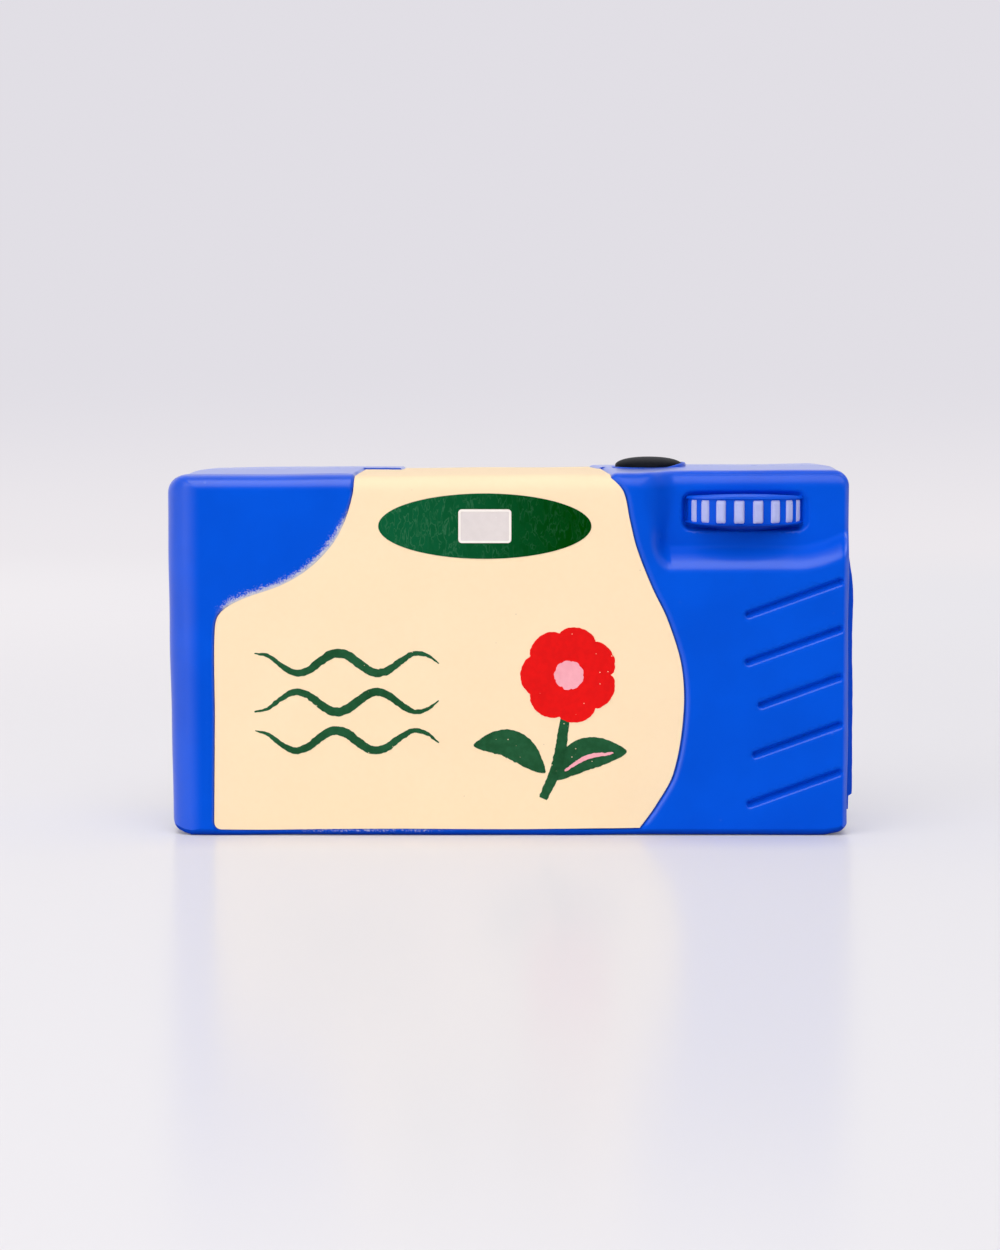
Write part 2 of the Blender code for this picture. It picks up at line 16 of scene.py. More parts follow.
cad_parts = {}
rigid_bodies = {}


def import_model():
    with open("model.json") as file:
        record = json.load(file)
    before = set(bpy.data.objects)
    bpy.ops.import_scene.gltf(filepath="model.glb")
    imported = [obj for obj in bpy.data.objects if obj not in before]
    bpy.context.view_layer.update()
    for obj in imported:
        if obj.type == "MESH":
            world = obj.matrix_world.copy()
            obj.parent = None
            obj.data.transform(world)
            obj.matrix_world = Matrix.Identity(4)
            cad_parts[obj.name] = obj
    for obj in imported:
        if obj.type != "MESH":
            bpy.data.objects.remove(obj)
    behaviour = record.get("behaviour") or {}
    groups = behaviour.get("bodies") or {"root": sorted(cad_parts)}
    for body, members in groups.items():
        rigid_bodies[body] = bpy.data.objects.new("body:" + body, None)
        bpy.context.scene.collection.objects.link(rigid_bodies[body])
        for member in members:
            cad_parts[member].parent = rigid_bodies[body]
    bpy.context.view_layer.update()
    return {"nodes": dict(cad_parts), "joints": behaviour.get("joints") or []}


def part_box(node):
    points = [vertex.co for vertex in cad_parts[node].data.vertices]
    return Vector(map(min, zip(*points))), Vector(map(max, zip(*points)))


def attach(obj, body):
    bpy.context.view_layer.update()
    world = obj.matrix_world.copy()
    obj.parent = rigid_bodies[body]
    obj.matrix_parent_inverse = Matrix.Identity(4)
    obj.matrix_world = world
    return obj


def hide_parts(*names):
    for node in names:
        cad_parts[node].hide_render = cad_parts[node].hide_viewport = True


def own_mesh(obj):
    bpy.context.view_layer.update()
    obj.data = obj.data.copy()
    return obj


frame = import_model()
MM = 0.001
print("nodes in the packed model:", len(frame["nodes"]))

# %% [markdown]
# The foam body is cast in a mould of two halves, which meet at a parting plane. Each half is a rounded
# rectangle that leans in a little from the parting plane to its face, so that it leaves the mould, and each
# of its four sides turns into the face over its own fillet. Box modelling with bevels could do this, but
# the four fillets differ too much for one bevel, so the body is written down as rings of points instead.

# %% Sizes of the two halves
near_low, near_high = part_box("eyepiece_side_skin")
far_low, far_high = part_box("lens_side_skin")
FIN = 1.1 * MM
LEFT, RIGHT, TOP = near_low.x, near_high.x - FIN, near_high.z
PARTING = (near_high.y + far_low.y) / 2
SEAM = 0.02 * MM
WALL = 1.8 * MM
LEAST_RADIUS = 0.4 * MM
SIDES = ("right", "top", "left", "bottom")
SIDE_SIGNS = np.array((1, 1, -1, -1))
CORNER_RADII = np.array((2.4, 3.4, 1.5, 1.7)) * MM
WALL_RADII = np.array((4.6, 6.4, 1.5, 1.7)) * MM
STATION_SPACING = (0.45 * MM, 0.3 * MM, 0.6 * MM, 0.8 * MM)
CORNER_STEPS = 10

Half = namedtuple("Half", "name body face inward depth fillets drafts")
NEAR = Half("near", "eyepiece_half", near_low.y, 1, PARTING - near_low.y,
            np.array((0.9, 2.8, 5.6, 1.2)) * MM, np.array((1.3, 0.4, 1.0, 0)) * MM)
FAR = Half("far", "lens_half", far_high.y, -1, far_high.y - PARTING,
           np.array((3.0, 2.8, 3.0, 1.2)) * MM, np.array((1.2, 0.4, 1.2, 0)) * MM)
print("body in mm:", [round(v / MM, 1) for v in (RIGHT - LEFT, NEAR.depth + FAR.depth, TOP)])

# %% [markdown]
# A ring is a line of points round the body. Every ring has one point for each station, so that following
# rings can be joined by quads. Its corners widen from the face to the parting plane, and its two ends turn
# back where their own fillets say so.

# %% Rings round the body
CORNERS_WIDE_AT = 0.5
MOSTLY = 0.7
SHARES = []
for side, spacing in enumerate(STATION_SPACING):
    length = RIGHT - LEFT if SIDES[side] in ("top", "bottom") else TOP
    SHARES.append(np.linspace(0, 1, round(length / spacing))[1:-1])


def ease(share):
    """A smooth step from 0 to 1."""
    share = np.clip(share, 0, 1)
    return share * share * (3 - 2 * share)


def between(one, two, share):
    """The value at a share of the way from one to two."""
    return one + (two - one) * share


def spokes(turns):
    """Directions in the plane of the face at these turns."""
    return np.stack([np.cos(turns), np.sin(turns)], 1)


def places(edges, radii):
    """Points round a rounded rectangle, from the foot of its upper right corner, anticlockwise."""
    right, top, left, bottom = edges
    arcs = []
    for corner, radius in enumerate(radii):
        middle_x = right - radius if corner in (0, 3) else left + radius
        middle_z = top - radius if corner in (0, 1) else bottom + radius
        turns = (corner + np.linspace(0, 1, CORNER_STEPS + 1)) * math.pi / 2
        arcs.append(np.array((middle_x, middle_z)) + radius * spokes(turns))
    rows = []
    for corner, arc in enumerate(arcs):
        following = (corner + 1) % 4
        share = SHARES[following][:, None]
        rows += [arc, arc[-1] * (1 - share) + arcs[following][0] * share]
    return np.concatenate(rows)


def facing():
    """Which way each of those points faces."""
    rows = []
    for corner in range(4):
        turns = (corner + np.linspace(0, 1, CORNER_STEPS + 1)) * math.pi / 2
        straight = np.full(len(SHARES[(corner + 1) % 4]), (corner + 1) * math.pi / 2)
        rows += [turns, straight]
    return spokes(np.concatenate(rows))


FACING = facing()
ON_TOP = FACING[:, 1] > MOSTLY
ON_BASE = FACING[:, 1] < -MOSTLY
TOPWARD = np.clip(FACING[:, 1], 0, 1) ** 2


def by_side(values):
    """A value for each station from four values for the sides, blended round the corners."""
    across = np.where(FACING[:, 0] > 0, values[0], values[2])
    upright = np.where(FACING[:, 1] > 0, values[1], values[3])
    return across * FACING[:, 0] ** 2 + upright * FACING[:, 1] ** 2


def ring(half, inset, turn, down):
    """A ring round one half, at a turn of its fillet or part of the way down its wall, and its depth."""
    fillets = np.maximum(half.fillets - inset, LEAST_RADIUS)
    round_depth = inset + fillets * (1 - math.cos(turn))
    deep = between(round_depth, half.depth, down)
    tuck = 1 - math.sin(turn)
    moved = inset + fillets * tuck + half.drafts * (1 - deep / half.depth)
    edges = np.array((RIGHT, TOP, LEFT, 0)) - SIDE_SIGNS * moved
    tight = (fillets + np.roll(fillets, -1)) / 2 * tuck
    widened = float(ease(down / CORNERS_WIDE_AT)) if half.inward > 0 else 1
    radii = between(CORNER_RADII, WALL_RADII, widened)
    flat = places(edges, np.maximum(radii - inset - tight, LEAST_RADIUS))
    depth = by_side(round_depth)
    for side in (0, 2):
        wall = edges[side] + SIDE_SIGNS[side] * fillets[side] * tuck
        short = np.clip(fillets[side] - SIDE_SIGNS[side] * (wall - flat[:, 0]), 0, fillets[side])
        depth = np.maximum(depth, inset + fillets[side] - np.sqrt(fillets[side] ** 2 - short ** 2))
    return flat, depth


print("stations round the body:", len(FACING))

# %% [markdown]
# Cast foam is never quite flat: it sags and swells by a twentieth of a millimetre over a few centimetres. A
# sum of a few slow waves is enough for that, and because it is a formula of the place alone, the body and
# every film on it can follow the same swell without touching each other. Beside the button the skin is
# rumpled by a few quick waves as well.

# %% Slow swell of the foam
SWELL = 0.055 * MM
RUMPLE = 0.09 * MM
RUMPLE_AT = (25.5 * MM, NEAR.face + MM, TOP - 2.2 * MM)
RUMPLE_SIZE = (6 * MM, 3 * MM, 2.6 * MM)
RUMPLE_WAVE = (1500, 400, 500)
WAVES = ((210, 60, 130, 0.4), (-90, 40, 260, 1.9), (330, -80, -190, 3.1), (120, 150, 410, 4.4))


def swell(points):
    """How far the foam stands out at each point."""
    total = sum(np.sin(points @ np.array(wave[:3]) + wave[3]) for wave in WAVES)
    away = np.linalg.norm((points - np.array(RUMPLE_AT)) / np.array(RUMPLE_SIZE), axis=1)
    rumple = RUMPLE * np.exp(-away ** 2) * np.sin(points @ np.array(RUMPLE_WAVE))
    return SWELL * total / len(WAVES) * 2 + rumple


# %% [markdown]
# A casting also settles while it cures. This one has drawn in along its left wall, most of all near the
# base, both ends of its base have curled up, and its top is a little aslant. A lattice could bend the
# finished mesh so, but a formula bends the body and the films on it alike.

# %% Settling of the casting
LEAN_ALL, LEAN, LEAN_FROM, LEAN_WIDE = 0.18 * MM, 0.6 * MM, 42 * MM, 9 * MM
CURL_LEFT, CURL_RIGHT, CURL_HIGH = 1.4 * MM, 1.0 * MM, 4 * MM
CURL_LEFT_WIDE, CURL_RIGHT_WIDE = 4.5 * MM, 5.0 * MM
TOP_SLOPE, TOP_SLOPE_HIGH = 0.0065, 5 * MM


def settle(points):
    """The points after settling."""
    low = ease((LEAN_FROM - points[:, 2]) / LEAN_FROM)
    beside_left = ease((LEFT + LEAN_WIDE - points[:, 0]) / LEAN_WIDE)
    settled = points.copy()
    settled[:, 0] += (LEAN_ALL + LEAN * low) * beside_left
    height = np.maximum(points[:, 2], 0)
    curl = CURL_LEFT * np.clip((LEFT + CURL_LEFT_WIDE - points[:, 0]) / CURL_LEFT_WIDE, 0, 1)
    curl += CURL_RIGHT * np.clip((points[:, 0] - RIGHT + CURL_RIGHT_WIDE) / CURL_RIGHT_WIDE, 0, 1)
    settled[:, 2] = height + curl * ease((CURL_HIGH - height) / CURL_HIGH)
    settled[:, 2] += TOP_SLOPE * points[:, 0] * ease((height - TOP + TOP_SLOPE_HIGH) / TOP_SLOPE_HIGH)
    return settled


# %% [markdown]
# Films such as the coat and the prints are drawn flat, as on a sheet of paper that is then wrapped over the
# body: one direction runs across, the other up the face and on over the rounded top. This function does the
# wrapping for a sheet at any depth.

# %% Wrapping a flat drawing over a half
def top_start(half):
    """The height where the face of a half starts to turn into its top."""
    return TOP - half.drafts[1] - half.fillets[1]


def sheet_end(half):
    """How far up the sheet the parting plane lies."""
    fillet = half.fillets[1]
    return top_start(half) + fillet * math.pi / 2 + half.depth - SEAM - fillet


def lay(half, sheet, sink):
    """Places on a half for points (across, up) of a sheet that lies below its surface."""
    across, up = sheet[:, 0], sheet[:, 1]
    fillet, foot = half.fillets[1], half.fillets[3]
    over = np.clip((up - top_start(half)) / fillet, 0, math.pi / 2)
    under = np.clip((foot - up) / foot, 0, math.pi / 2)
    wall = np.maximum(up - top_start(half) - fillet * math.pi / 2, 0)
    top_depth = fillet * (1 - np.cos(over)) + wall
    deep = top_depth + foot * (1 - np.cos(under))
    height = np.clip(up, foot, top_start(half)) + fillet * np.sin(over) - foot * np.sin(under)
    height += half.drafts[1] * top_depth / half.depth
    base = np.stack([across, half.face + half.inward * deep, height], 1)
    upward = np.sin(over) - np.sin(under)
    outward = np.stack([0 * across, -half.inward * np.cos(over) * np.cos(under), upward], 1)
    return settle(base + outward * (swell(base) - sink)[:, None])


# %% [markdown]
# Triangulation: a flat outline is filled with points on a grid, which are then joined by Delaunay's rule.
# Extra points can be given where the surface will bend sharply, so the mesh is fine only where it has to
# be.

# %% Filling a flat outline with triangles
def inside(points, outline):
    """Whether each point lies inside an outline."""
    x, z = points[:, 0], points[:, 1]
    found = np.zeros(len(points), bool)
    for (x1, z1), (x2, z2) in zip(outline, np.roll(outline, -1, 0)):
        if z1 != z2:
            found ^= ((z1 > z) != (z2 > z)) & (x < (x2 - x1) * (z - z1) / (z2 - z1) + x1)
    return found


def apart(points, others, distance):
    """The points that lie further than a distance from all others."""
    tree = kdtree.KDTree(len(others))
    for number, (x, z) in enumerate(others):
        tree.insert((x, z, 0), number)
    tree.balance()
    kept = [tree.find((x, z, 0))[2] > distance for x, z in points]
    return points[np.array(kept, bool)]


LATTICE_GAP = 0.55


def fill(outlines, grid, holes=False, dots=()):
    """Points and triangles inside the first outline. The first points are those of the outlines, in order."""
    edges = []
    start = 0
    for outline in outlines:
        count = len(outline)
        edges += [(start + k, start + (k + 1) % count) for k in range(count)]
        start += count
    points = np.concatenate(outlines)
    low, high = points.min(0), points.max(0)
    columns = np.arange(low[0] + grid / 2, high[0], grid)
    rows = np.arange(low[1] + grid / 2, high[1], grid)
    lattice = np.stack(np.meshgrid(columns, rows), -1).reshape(-1, 2)
    for extra, gap in (*dots, (lattice, grid * LATTICE_GAP)):
        extra = extra[inside(extra, outlines[0])]
        for outline in outlines[1:]:
            if holes:
                extra = extra[~inside(extra, outline)]
        points = np.concatenate([points, apart(extra, points, gap)])
    made = delaunay_2d_cdt([Vector(p) for p in points], edges, [], 1, 1e-9)
    origins = [ids[0] for ids in made[3]]
    faces = np.array([[origins[k] for k in face] for face in made[2]])
    if holes:
        middles = points[faces].mean(1)
        for outline in outlines[1:]:
            kept = ~inside(middles, outline)
            faces, middles = faces[kept], middles[kept]
    return points, [tuple(int(k) for k in face) for face in faces]


# %% [markdown]
# Every piece ends as a plain mesh whose place is in its points. The helper below makes one, gives it its
# finish and lets it shine smoothly except over sharp edges.

# %% From points to a piece
def add_object(name, data):
    """An object in the scene that holds this data."""
    thing = bpy.data.objects.new(name, data)
    bpy.context.scene.collection.objects.link(thing)
    return thing


def add_piece(name, points, faces, finish, sharp=40):
    """A mesh object from points and faces, smooth but for edges sharper than an angle in degrees."""
    mesh = bpy.data.meshes.new(name)
    mesh.from_pydata([tuple(p) for p in points], [], faces)
    mesh.shade_smooth()
    mesh.set_sharp_from_angle(angle=math.radians(sharp))
    mesh.materials.append(finish)
    piece = add_object(name, mesh)
    print(f"{name}: {len(mesh.vertices)} points, {sum(len(f) - 2 for f in faces)} triangles")
    return piece


def mark(piece, name, values):
    """Gives each point of a piece a number that its material can read."""
    attribute = piece.data.attributes.new(name, "FLOAT", "POINT")
    attribute.data.foreach_set("value", np.asarray(values, np.float32))


def bands(rings):
    """Quads between following rings of point numbers."""
    faces = []
    for one, two in zip(rings, rings[1:]):
        faces += list(zip(one, np.roll(one, -1), np.roll(two, -1), two))
    return [tuple(int(k) for k in face) for face in faces]


def ring_numbers(rings, count):
    """Point numbers of rings that follow each other and have as many points each."""
    return [np.arange(count) + k * count for k in range(rings)]


def flipped(faces):
    """The faces turned to their other side."""
    return [face[::-1] for face in faces]


def renumbered(faces, count):
    """The faces with a count added to all their point numbers."""
    return [tuple(k + count for k in face) for face in faces]


def film(name, half, outlines, sink, thick, grid, finish, holes=False, relief=None):
    """A thin closed film on a half, from flat outlines of which the first is the outer one."""
    flat, triangles = fill(outlines, grid, holes)
    lift = relief(flat) if relief else 0
    front = lay(half, flat, sink - lift)
    back = lay(half, flat, sink + thick + 0 * flat[:, 0])
    count = len(flat)
    faces = triangles if half.inward > 0 else flipped(triangles)
    faces = faces + renumbered(flipped(faces), count)
    start = 0
    for number, outline in enumerate(outlines):
        loop = np.arange(start, start + len(outline))
        start += len(outline)
        rim = bands([loop + count, loop])
        outer = number == 0 or not holes
        faces += rim if outer == (half.inward > 0) else flipped(rim)
    return add_piece(name, np.concatenate([front, back]), faces, finish)


# %% [markdown]
# Materials are node trees. To keep them readable, a small class wraps a socket, so that sums and products
# of sockets can be written as plain Python, and one method adds any other node.

# %% Shader maths as expressions
class Wire:
    """A socket in a node tree."""

    def __init__(self, tree, socket):
        self.tree = tree
        self.socket = socket

    def add(self, kind, settings=None, values=None, out=0):
        """A node of some kind, with its settings and then its sockets set or linked."""
        node = self.tree.nodes.new(kind)
        for name, value in (settings or {}).items():
            setattr(node, name, value)
        for name, value in (values or {}).items():
            if isinstance(value, Wire):
                self.tree.links.new(value.socket, node.inputs[name])
            else:
                node.inputs[name].default_value = value
        return Wire(self.tree, node.outputs[out])

    def math(self, operation, *others):
        """This and other values through a maths node."""
        return self.add("ShaderNodeMath", {"operation": operation}, dict(enumerate((self, *others))))

    def __add__(self, other):
        return self.math("ADD", other)

    def __mul__(self, other):
        return self.math("MULTIPLY", other)

    def __sub__(self, other):
        return self.math("SUBTRACT", other)

    def __rsub__(self, other):
        return (self * -1) + other

    __radd__ = __add__
    __rmul__ = __mul__

    def axis(self, number):
        """One axis of these coordinates: 0 is across, 1 is back and 2 is up."""
        return self.add("ShaderNodeSeparateXYZ", None, {"Vector": self}, number)

    def attribute(self, name):
        """A number that the mesh carries."""
        return self.add("ShaderNodeAttribute", {"attribute_name": name}, None, 2)

    def output(self, name):
        """Another output of the same node."""
        return Wire(self.tree, self.socket.node.outputs[name])

    def step(self, low, high):
        """A smooth step from 0 at low to 1 at high."""
        return self.add("ShaderNodeMapRange", {"interpolation_type": "SMOOTHSTEP"},
                        {"Value": self, "From Min": low, "From Max": high})

    def mix(self, one, two):
        """A colour between two, by this share."""
        return self.add("ShaderNodeMix", {"data_type": "RGBA"}, {0: self, 6: one, 7: two}, 2)

    def noise(self, scale, detail=2):
        """Soft noise on these coordinates."""
        return self.add("ShaderNodeTexNoise", None, {"Vector": self, "Scale": scale, "Detail": detail})

    def specks(self, scale, size, share):
        """Small round specks: a share of the cells on these coordinates hold one."""
        cells = self.add("ShaderNodeTexVoronoi", None, {"Vector": self, "Scale": scale})
        tint = cells.output("Color")
        chance = tint.add("ShaderNodeSeparateColor", None, {"Color": tint})
        return (1 - cells.step(size * 0.6, size)) * chance.math("LESS_THAN", share)

    def into(self, shader, name):
        """Links this to an input of a shader."""
        self.tree.links.new(self.socket, shader.inputs[name])


def new_finish(name, roughness, **constants):
    """A material with a Principled shader, and the object coordinates to draw patterns on."""
    material = bpy.data.materials.new(name)
    material.use_nodes = True
    tree = material.node_tree
    shader = tree.nodes["Principled BSDF"]
    shader.inputs["Roughness"].default_value = roughness
    for socket, value in constants.items():
        shader.inputs[socket.replace("_", " ")].default_value = value
    place = Wire(tree, tree.nodes.new("ShaderNodeTexCoord").outputs["Object"])
    return material, shader, place


def bump(height, distance, strength, shader):
    """Raises the surface by a height in a shader."""
    values = {"Height": height, "Distance": distance, "Strength": strength}
    height.add("ShaderNodeBump", None, values).into(shader, "Normal")


# %% [markdown]
# The blue skin is foam that was painted in the mould with a soft, slightly shiny paint. It has an orange-
# peel grain, a faint cloudiness and a few dust specks. Along the edge of the cream coat some of the coat's
# spray has drifted under the mask, which shows as pale dust. Edges and slopes are rubbed to a shine, which
# is a clear coat over the paint. Shade is painted into the colour as a deeper blue along the base, under the
# wheel and on the wheel's underside. The mesh carries in attributes how much dust, painted shade and shine
# each point has.

# %% Blue skin
BLUE_DEEP = (0.0002, 0.078, 0.640, 1)
BLUE_BRIGHT = (0.0003, 0.088, 0.700, 1)
# The deep blue is painted shade, which the colour turns to along the base and under the wheel.
BLUE_PAINTED_SHADE = (0.0001, 0.020, 0.262, 1)
DUST = (0.70, 0.69, 0.73, 1)
SCUFF = (0.24, 0.36, 0.82, 1)
SCUFFED_TO, CLEAN_FROM = -30 * MM, 10 * MM
SHINE = 0.5
ORANGE_PEEL = 0.05 * MM
BLUE_CLOUDS, BLUE_GRAIN, BLUE_PEEL = 70, 2400, 700
SCUFF_CELLS, SCUFF_SIZE, SCUFF_SHARE, SCUFF_PATCHES = 430, 0.15, 0.10, 28
SCUFF_LEFT, SCUFF_ALL = 0.36, 0.04
DUST_FINE, DUST_COARSE, DUST_MOST = 3900, 1500, 0.9


def blue_skin():
    """The painted skin of the foam."""
    material, shader, place = new_finish("blue_skin", 0.36, Specular_IOR_Level=0.03, Coat_Roughness=0.28,
                                         Coat_IOR=1.8)
    cloud = place.noise(BLUE_CLOUDS, 3).step(0.3, 0.7)
    grain = place.noise(BLUE_GRAIN)
    colour = cloud.mix(BLUE_DEEP, BLUE_BRIGHT)
    left = 1 - place.axis(0).step(SCUFFED_TO, CLEAN_FROM)
    scuffs = place.specks(SCUFF_CELLS, SCUFF_SIZE, SCUFF_SHARE) * place.noise(SCUFF_PATCHES).step(0.42, 0.58)
    colour = (scuffs * (left * SCUFF_LEFT + SCUFF_ALL)).mix(colour, SCUFF)
    # Painted shade: the colour turns deep blue along the base, under the wheel and on the wheel's underside.
    colour = place.attribute("shade").mix(colour, BLUE_PAINTED_SHADE)
    drift = place.attribute("drift")
    dust = place.noise(DUST_FINE, 2) * 0.9 + place.noise(DUST_COARSE, 1) * 0.3 + drift * 0.8
    dust = dust.step(0.78, 1.25) * drift.step(0.02, 0.3) * DUST_MOST
    dust.mix(colour, DUST).into(shader, "Base Color")
    (grain * 0.12 + cloud * 0.04 + 0.28).into(shader, "Roughness")
    (place.attribute("shine") * SHINE).into(shader, "Coat Weight")
    bump(grain * 0.5 + place.noise(BLUE_PEEL) * 0.5, ORANGE_PEEL, 0.3, shader)
    return material


BLUE = blue_skin()
print("blue skin:", len(BLUE.node_tree.nodes), "nodes")

# %% [markdown]
# The coat, the inks and the paints are thin and matt. One recipe serves them all: two shades in soft
# clouds, specks where the layer is worn through to what lies under it, and a fine wrinkle in the surface.

# %% Paints and inks
PAINT_CLOUDS = 110
WORN_FINE, WORN_FINE_SIZE, WORN_COARSE, WORN_COARSE_SIZE = 1500, 0.16, 520, 0.10


def paint(name, dark, light, under, worn=0.1, wrinkle=900, depth=0.04, roughness=0.5, gloss=0.15):
    """A thin layer in two shades, with a share of specks worn through to what lies under it."""
    material, shader, place = new_finish(name, roughness, Specular_IOR_Level=gloss)
    cloud = place.noise(PAINT_CLOUDS, 3).step(0.3, 0.7)
    grain = place.noise(wrinkle, 3)
    colour = (cloud * 0.5 + grain.step(0.35, 0.65) * 0.5).mix((*dark, 1), (*light, 1))
    fine = place.specks(WORN_FINE, WORN_FINE_SIZE, worn)
    holes = fine.math("MAXIMUM", place.specks(WORN_COARSE, WORN_COARSE_SIZE, worn * 0.6))
    (holes * 0.9).mix(colour, (*under, 1)).into(shader, "Base Color")
    (grain * 0.14 + (roughness - 0.07)).into(shader, "Roughness")
    bump(grain, depth * MM, 0.5, shader)
    return material


CREAM_COLOUR = (0.975, 0.765, 0.510)
BLUE_COLOUR = (0.0012, 0.088, 0.69)
CREAM = paint("cream_coat", (0.968, 0.753, 0.494), CREAM_COLOUR, (0.62, 0.47, 0.32), worn=0.003, gloss=0.05)
PALE = paint("pale_ink", (0.72, 0.65, 0.63), (0.76, 0.69, 0.67), (0.82, 0.76, 0.74), 0.02)
# A paler film round the inside of each finder window is a painted highlight on its rim.
WINDOW_RIM_HIGHLIGHT = paint("border_ink", (0.92, 0.85, 0.79), (0.95, 0.88, 0.82), CREAM_COLOUR, 0.02)
# The ribs' paint is white. Its colour here is a pale lavender blue, which holds painted shade and a painted
# reflection of the blue around it.
WHITE_AND_PAINTED_SHADE = paint("white_paint", (0.40, 0.43, 0.77), (0.46, 0.49, 0.81), BLUE_COLOUR, 0.05)
BLACK = paint("black_paint", (0.004, 0.005, 0.008), (0.008, 0.009, 0.014), (0.03, 0.03, 0.04), worn=0.03,
              wrinkle=1500, depth=0.05, gloss=0.04)
RED = paint("red_ink", (0.74, 0.0008, 0.0008), (0.84, 0.002, 0.0015), CREAM_COLOUR, 0.07)
LEAF = paint("leaf_ink", (0.004, 0.066, 0.018), (0.012, 0.100, 0.036), CREAM_COLOUR, 0.10)
PINK = paint("pink_ink", (0.90, 0.37, 0.43), (0.96, 0.44, 0.50), CREAM_COLOUR, 0.08)
FOAM = paint("open_foam", (0.74, 0.70, 0.61), (0.84, 0.80, 0.71), (0.50, 0.46, 0.38), worn=0.5,
             wrinkle=1200, depth=0.4, roughness=0.9)
print("paints and inks:", len(bpy.data.materials))

# %% [markdown]
# The green ink of the finders is thick. It has dried with fine upright wrinkles like those of leather. Its
# colour is lighter towards the left and darker towards the right, and a painted highlight lies on the
# wrinkle crests, most of all on the left. A noise that is drawn out along the height gives the wrinkles: its
# crests are the places where it passes its middle value.

# %% Green ink
# The green is lighter towards the left and darker towards the right.
GREEN_LEFT_TONE = (0.0050, 0.105, 0.038, 1)
GREEN_RIGHT_TONE = (0.0001, 0.045, 0.0006, 1)
# A paler green, painted as a highlight on the wrinkle crests.
GREEN_CREST_HIGHLIGHT = (0.045, 0.175, 0.085, 1)
WRINKLE_SCALE, WRINKLE_STRETCH, WRINKLE_DEPTH = 1250, 0.42, 0.12 * MM
CREST_HIGHLIGHT_WIDE, CREST_HIGHLIGHT_PATCHES = 0.055, 330
LIGHTER_END, DARKER_END = -22 * MM, 14 * MM


def green_ink():
    """The thick and wrinkled ink of the finders."""
    material, shader, place = new_finish("green_ink", 0.42, Specular_IOR_Level=0.0)
    drawn = place.add("ShaderNodeMapping", None, {"Vector": place, "Scale": (1, 1, WRINKLE_STRETCH)})
    wave = drawn.add("ShaderNodeTexNoise", None, {"Vector": drawn, "Scale": WRINKLE_SCALE, "Detail": 2,
                                                  "Distortion": 0.5})
    crest = 1 - (wave - 0.5).math("ABSOLUTE").step(0, CREST_HIGHLIGHT_WIDE)
    # A share from 0 at the left to 1 towards the right, for the darker green.
    thick = place.axis(0).step(LIGHTER_END, DARKER_END)
    colour = (thick * 0.9 + wave.step(0.3, 0.7) * 0.1).mix(GREEN_LEFT_TONE, GREEN_RIGHT_TONE)
    patchy = place.noise(CREST_HIGHLIGHT_PATCHES, 2).step(0.25, 0.6)
    # Painted highlight: the wrinkle crests turn paler, most of all towards the left.
    (crest * patchy * (1 - thick * 0.75) * 0.6).mix(colour, GREEN_CREST_HIGHLIGHT).into(shader, "Base Color")
    (wave * 0.2 + 0.32).into(shader, "Roughness")
    bump(wave, WRINKLE_DEPTH, 0.5, shader)
    return material


GREEN = green_ink()
print("green ink:", len(GREEN.node_tree.nodes), "nodes")

# %% [markdown]
# The cream coat is sprayed through a mask that lies on the blue skin. On the photographed side its edge
# runs down from the neck at the top, out over a shoulder on the left, and in a long belly on the right. A
# handful of places on the edge, joined by a smooth curve, is the shape. The sheet's upper end is the
# parting plane.

# %% Outline of the coat
COAT_LOW = 0.95 * MM
COAT_STEP = 0.3 * MM
FOOT_RADIUS = 1.3 * MM
COAT_LEFT = -49.9 * MM
COAT_TIP = (21.5 * MM, COAT_LOW + 0.14 * MM)
SHOULDER = ((-30.2, 48.6), (-34.1, 44.7), (-38.5, 42.1), (-45.6, 39.5), (-48.9, 37.2), (-49.65, 34.1),
            (-49.7, 20))
BELLY = ((20.9, 48.2), (23.5, 41.6), (26.0, 36.4), (28.4, 28.6), (28.85, 20.5), (27.2, 10.5), (24.2, 4.9))
NECKS = {
    "near": (((-26.3, 60.4), (-26.55, 57.3), (-28.0, 52.5)), ((16.6, 60.4), (18.7, 57.5), (19.7, 53.0))),
    "far": (((-18.3, 60.4), (-20.4, 57.3), (-24.6, 52.5)), ((13.2, 60.4), (15.9, 57.5), (18.1, 53.0))),
}
NECK_AT_PARTING = {"near": (-24.9, 15.2), "far": (-18.6, 14.6)}
BASE_WAVER = ((-40, -0.12), (-29, 0.08), (-18, 0.15), (-9, 0.08), (1, 0.04), (9, 0.15), (16, 0.07))


def curve(anchors, step):
    """Points along a smooth curve through anchors, about a step apart."""
    anchors = np.array(anchors, float)
    ends = np.concatenate([2 * anchors[:1] - anchors[1:2], anchors, 2 * anchors[-1:] - anchors[-2:-1]])
    points = []
    for before, start, stop, after in zip(ends, ends[1:], ends[2:], ends[3:]):
        length = np.linalg.norm(stop - start)
        count = max(round(length / step), 1)
        share = np.arange(count)[:, None] / count
        handles = []
        for tangent in (stop - before, after - start):
            handles.append(tangent / np.linalg.norm(tangent) * length)
        leave, arrive = handles
        square, cube = share ** 2, share ** 3
        points.append(start * (2 * cube - 3 * square + 1) + leave * (cube - 2 * square + share)
                      + stop * (3 * square - 2 * cube) + arrive * (cube - square))
    return np.concatenate([*points, anchors[-1:]])


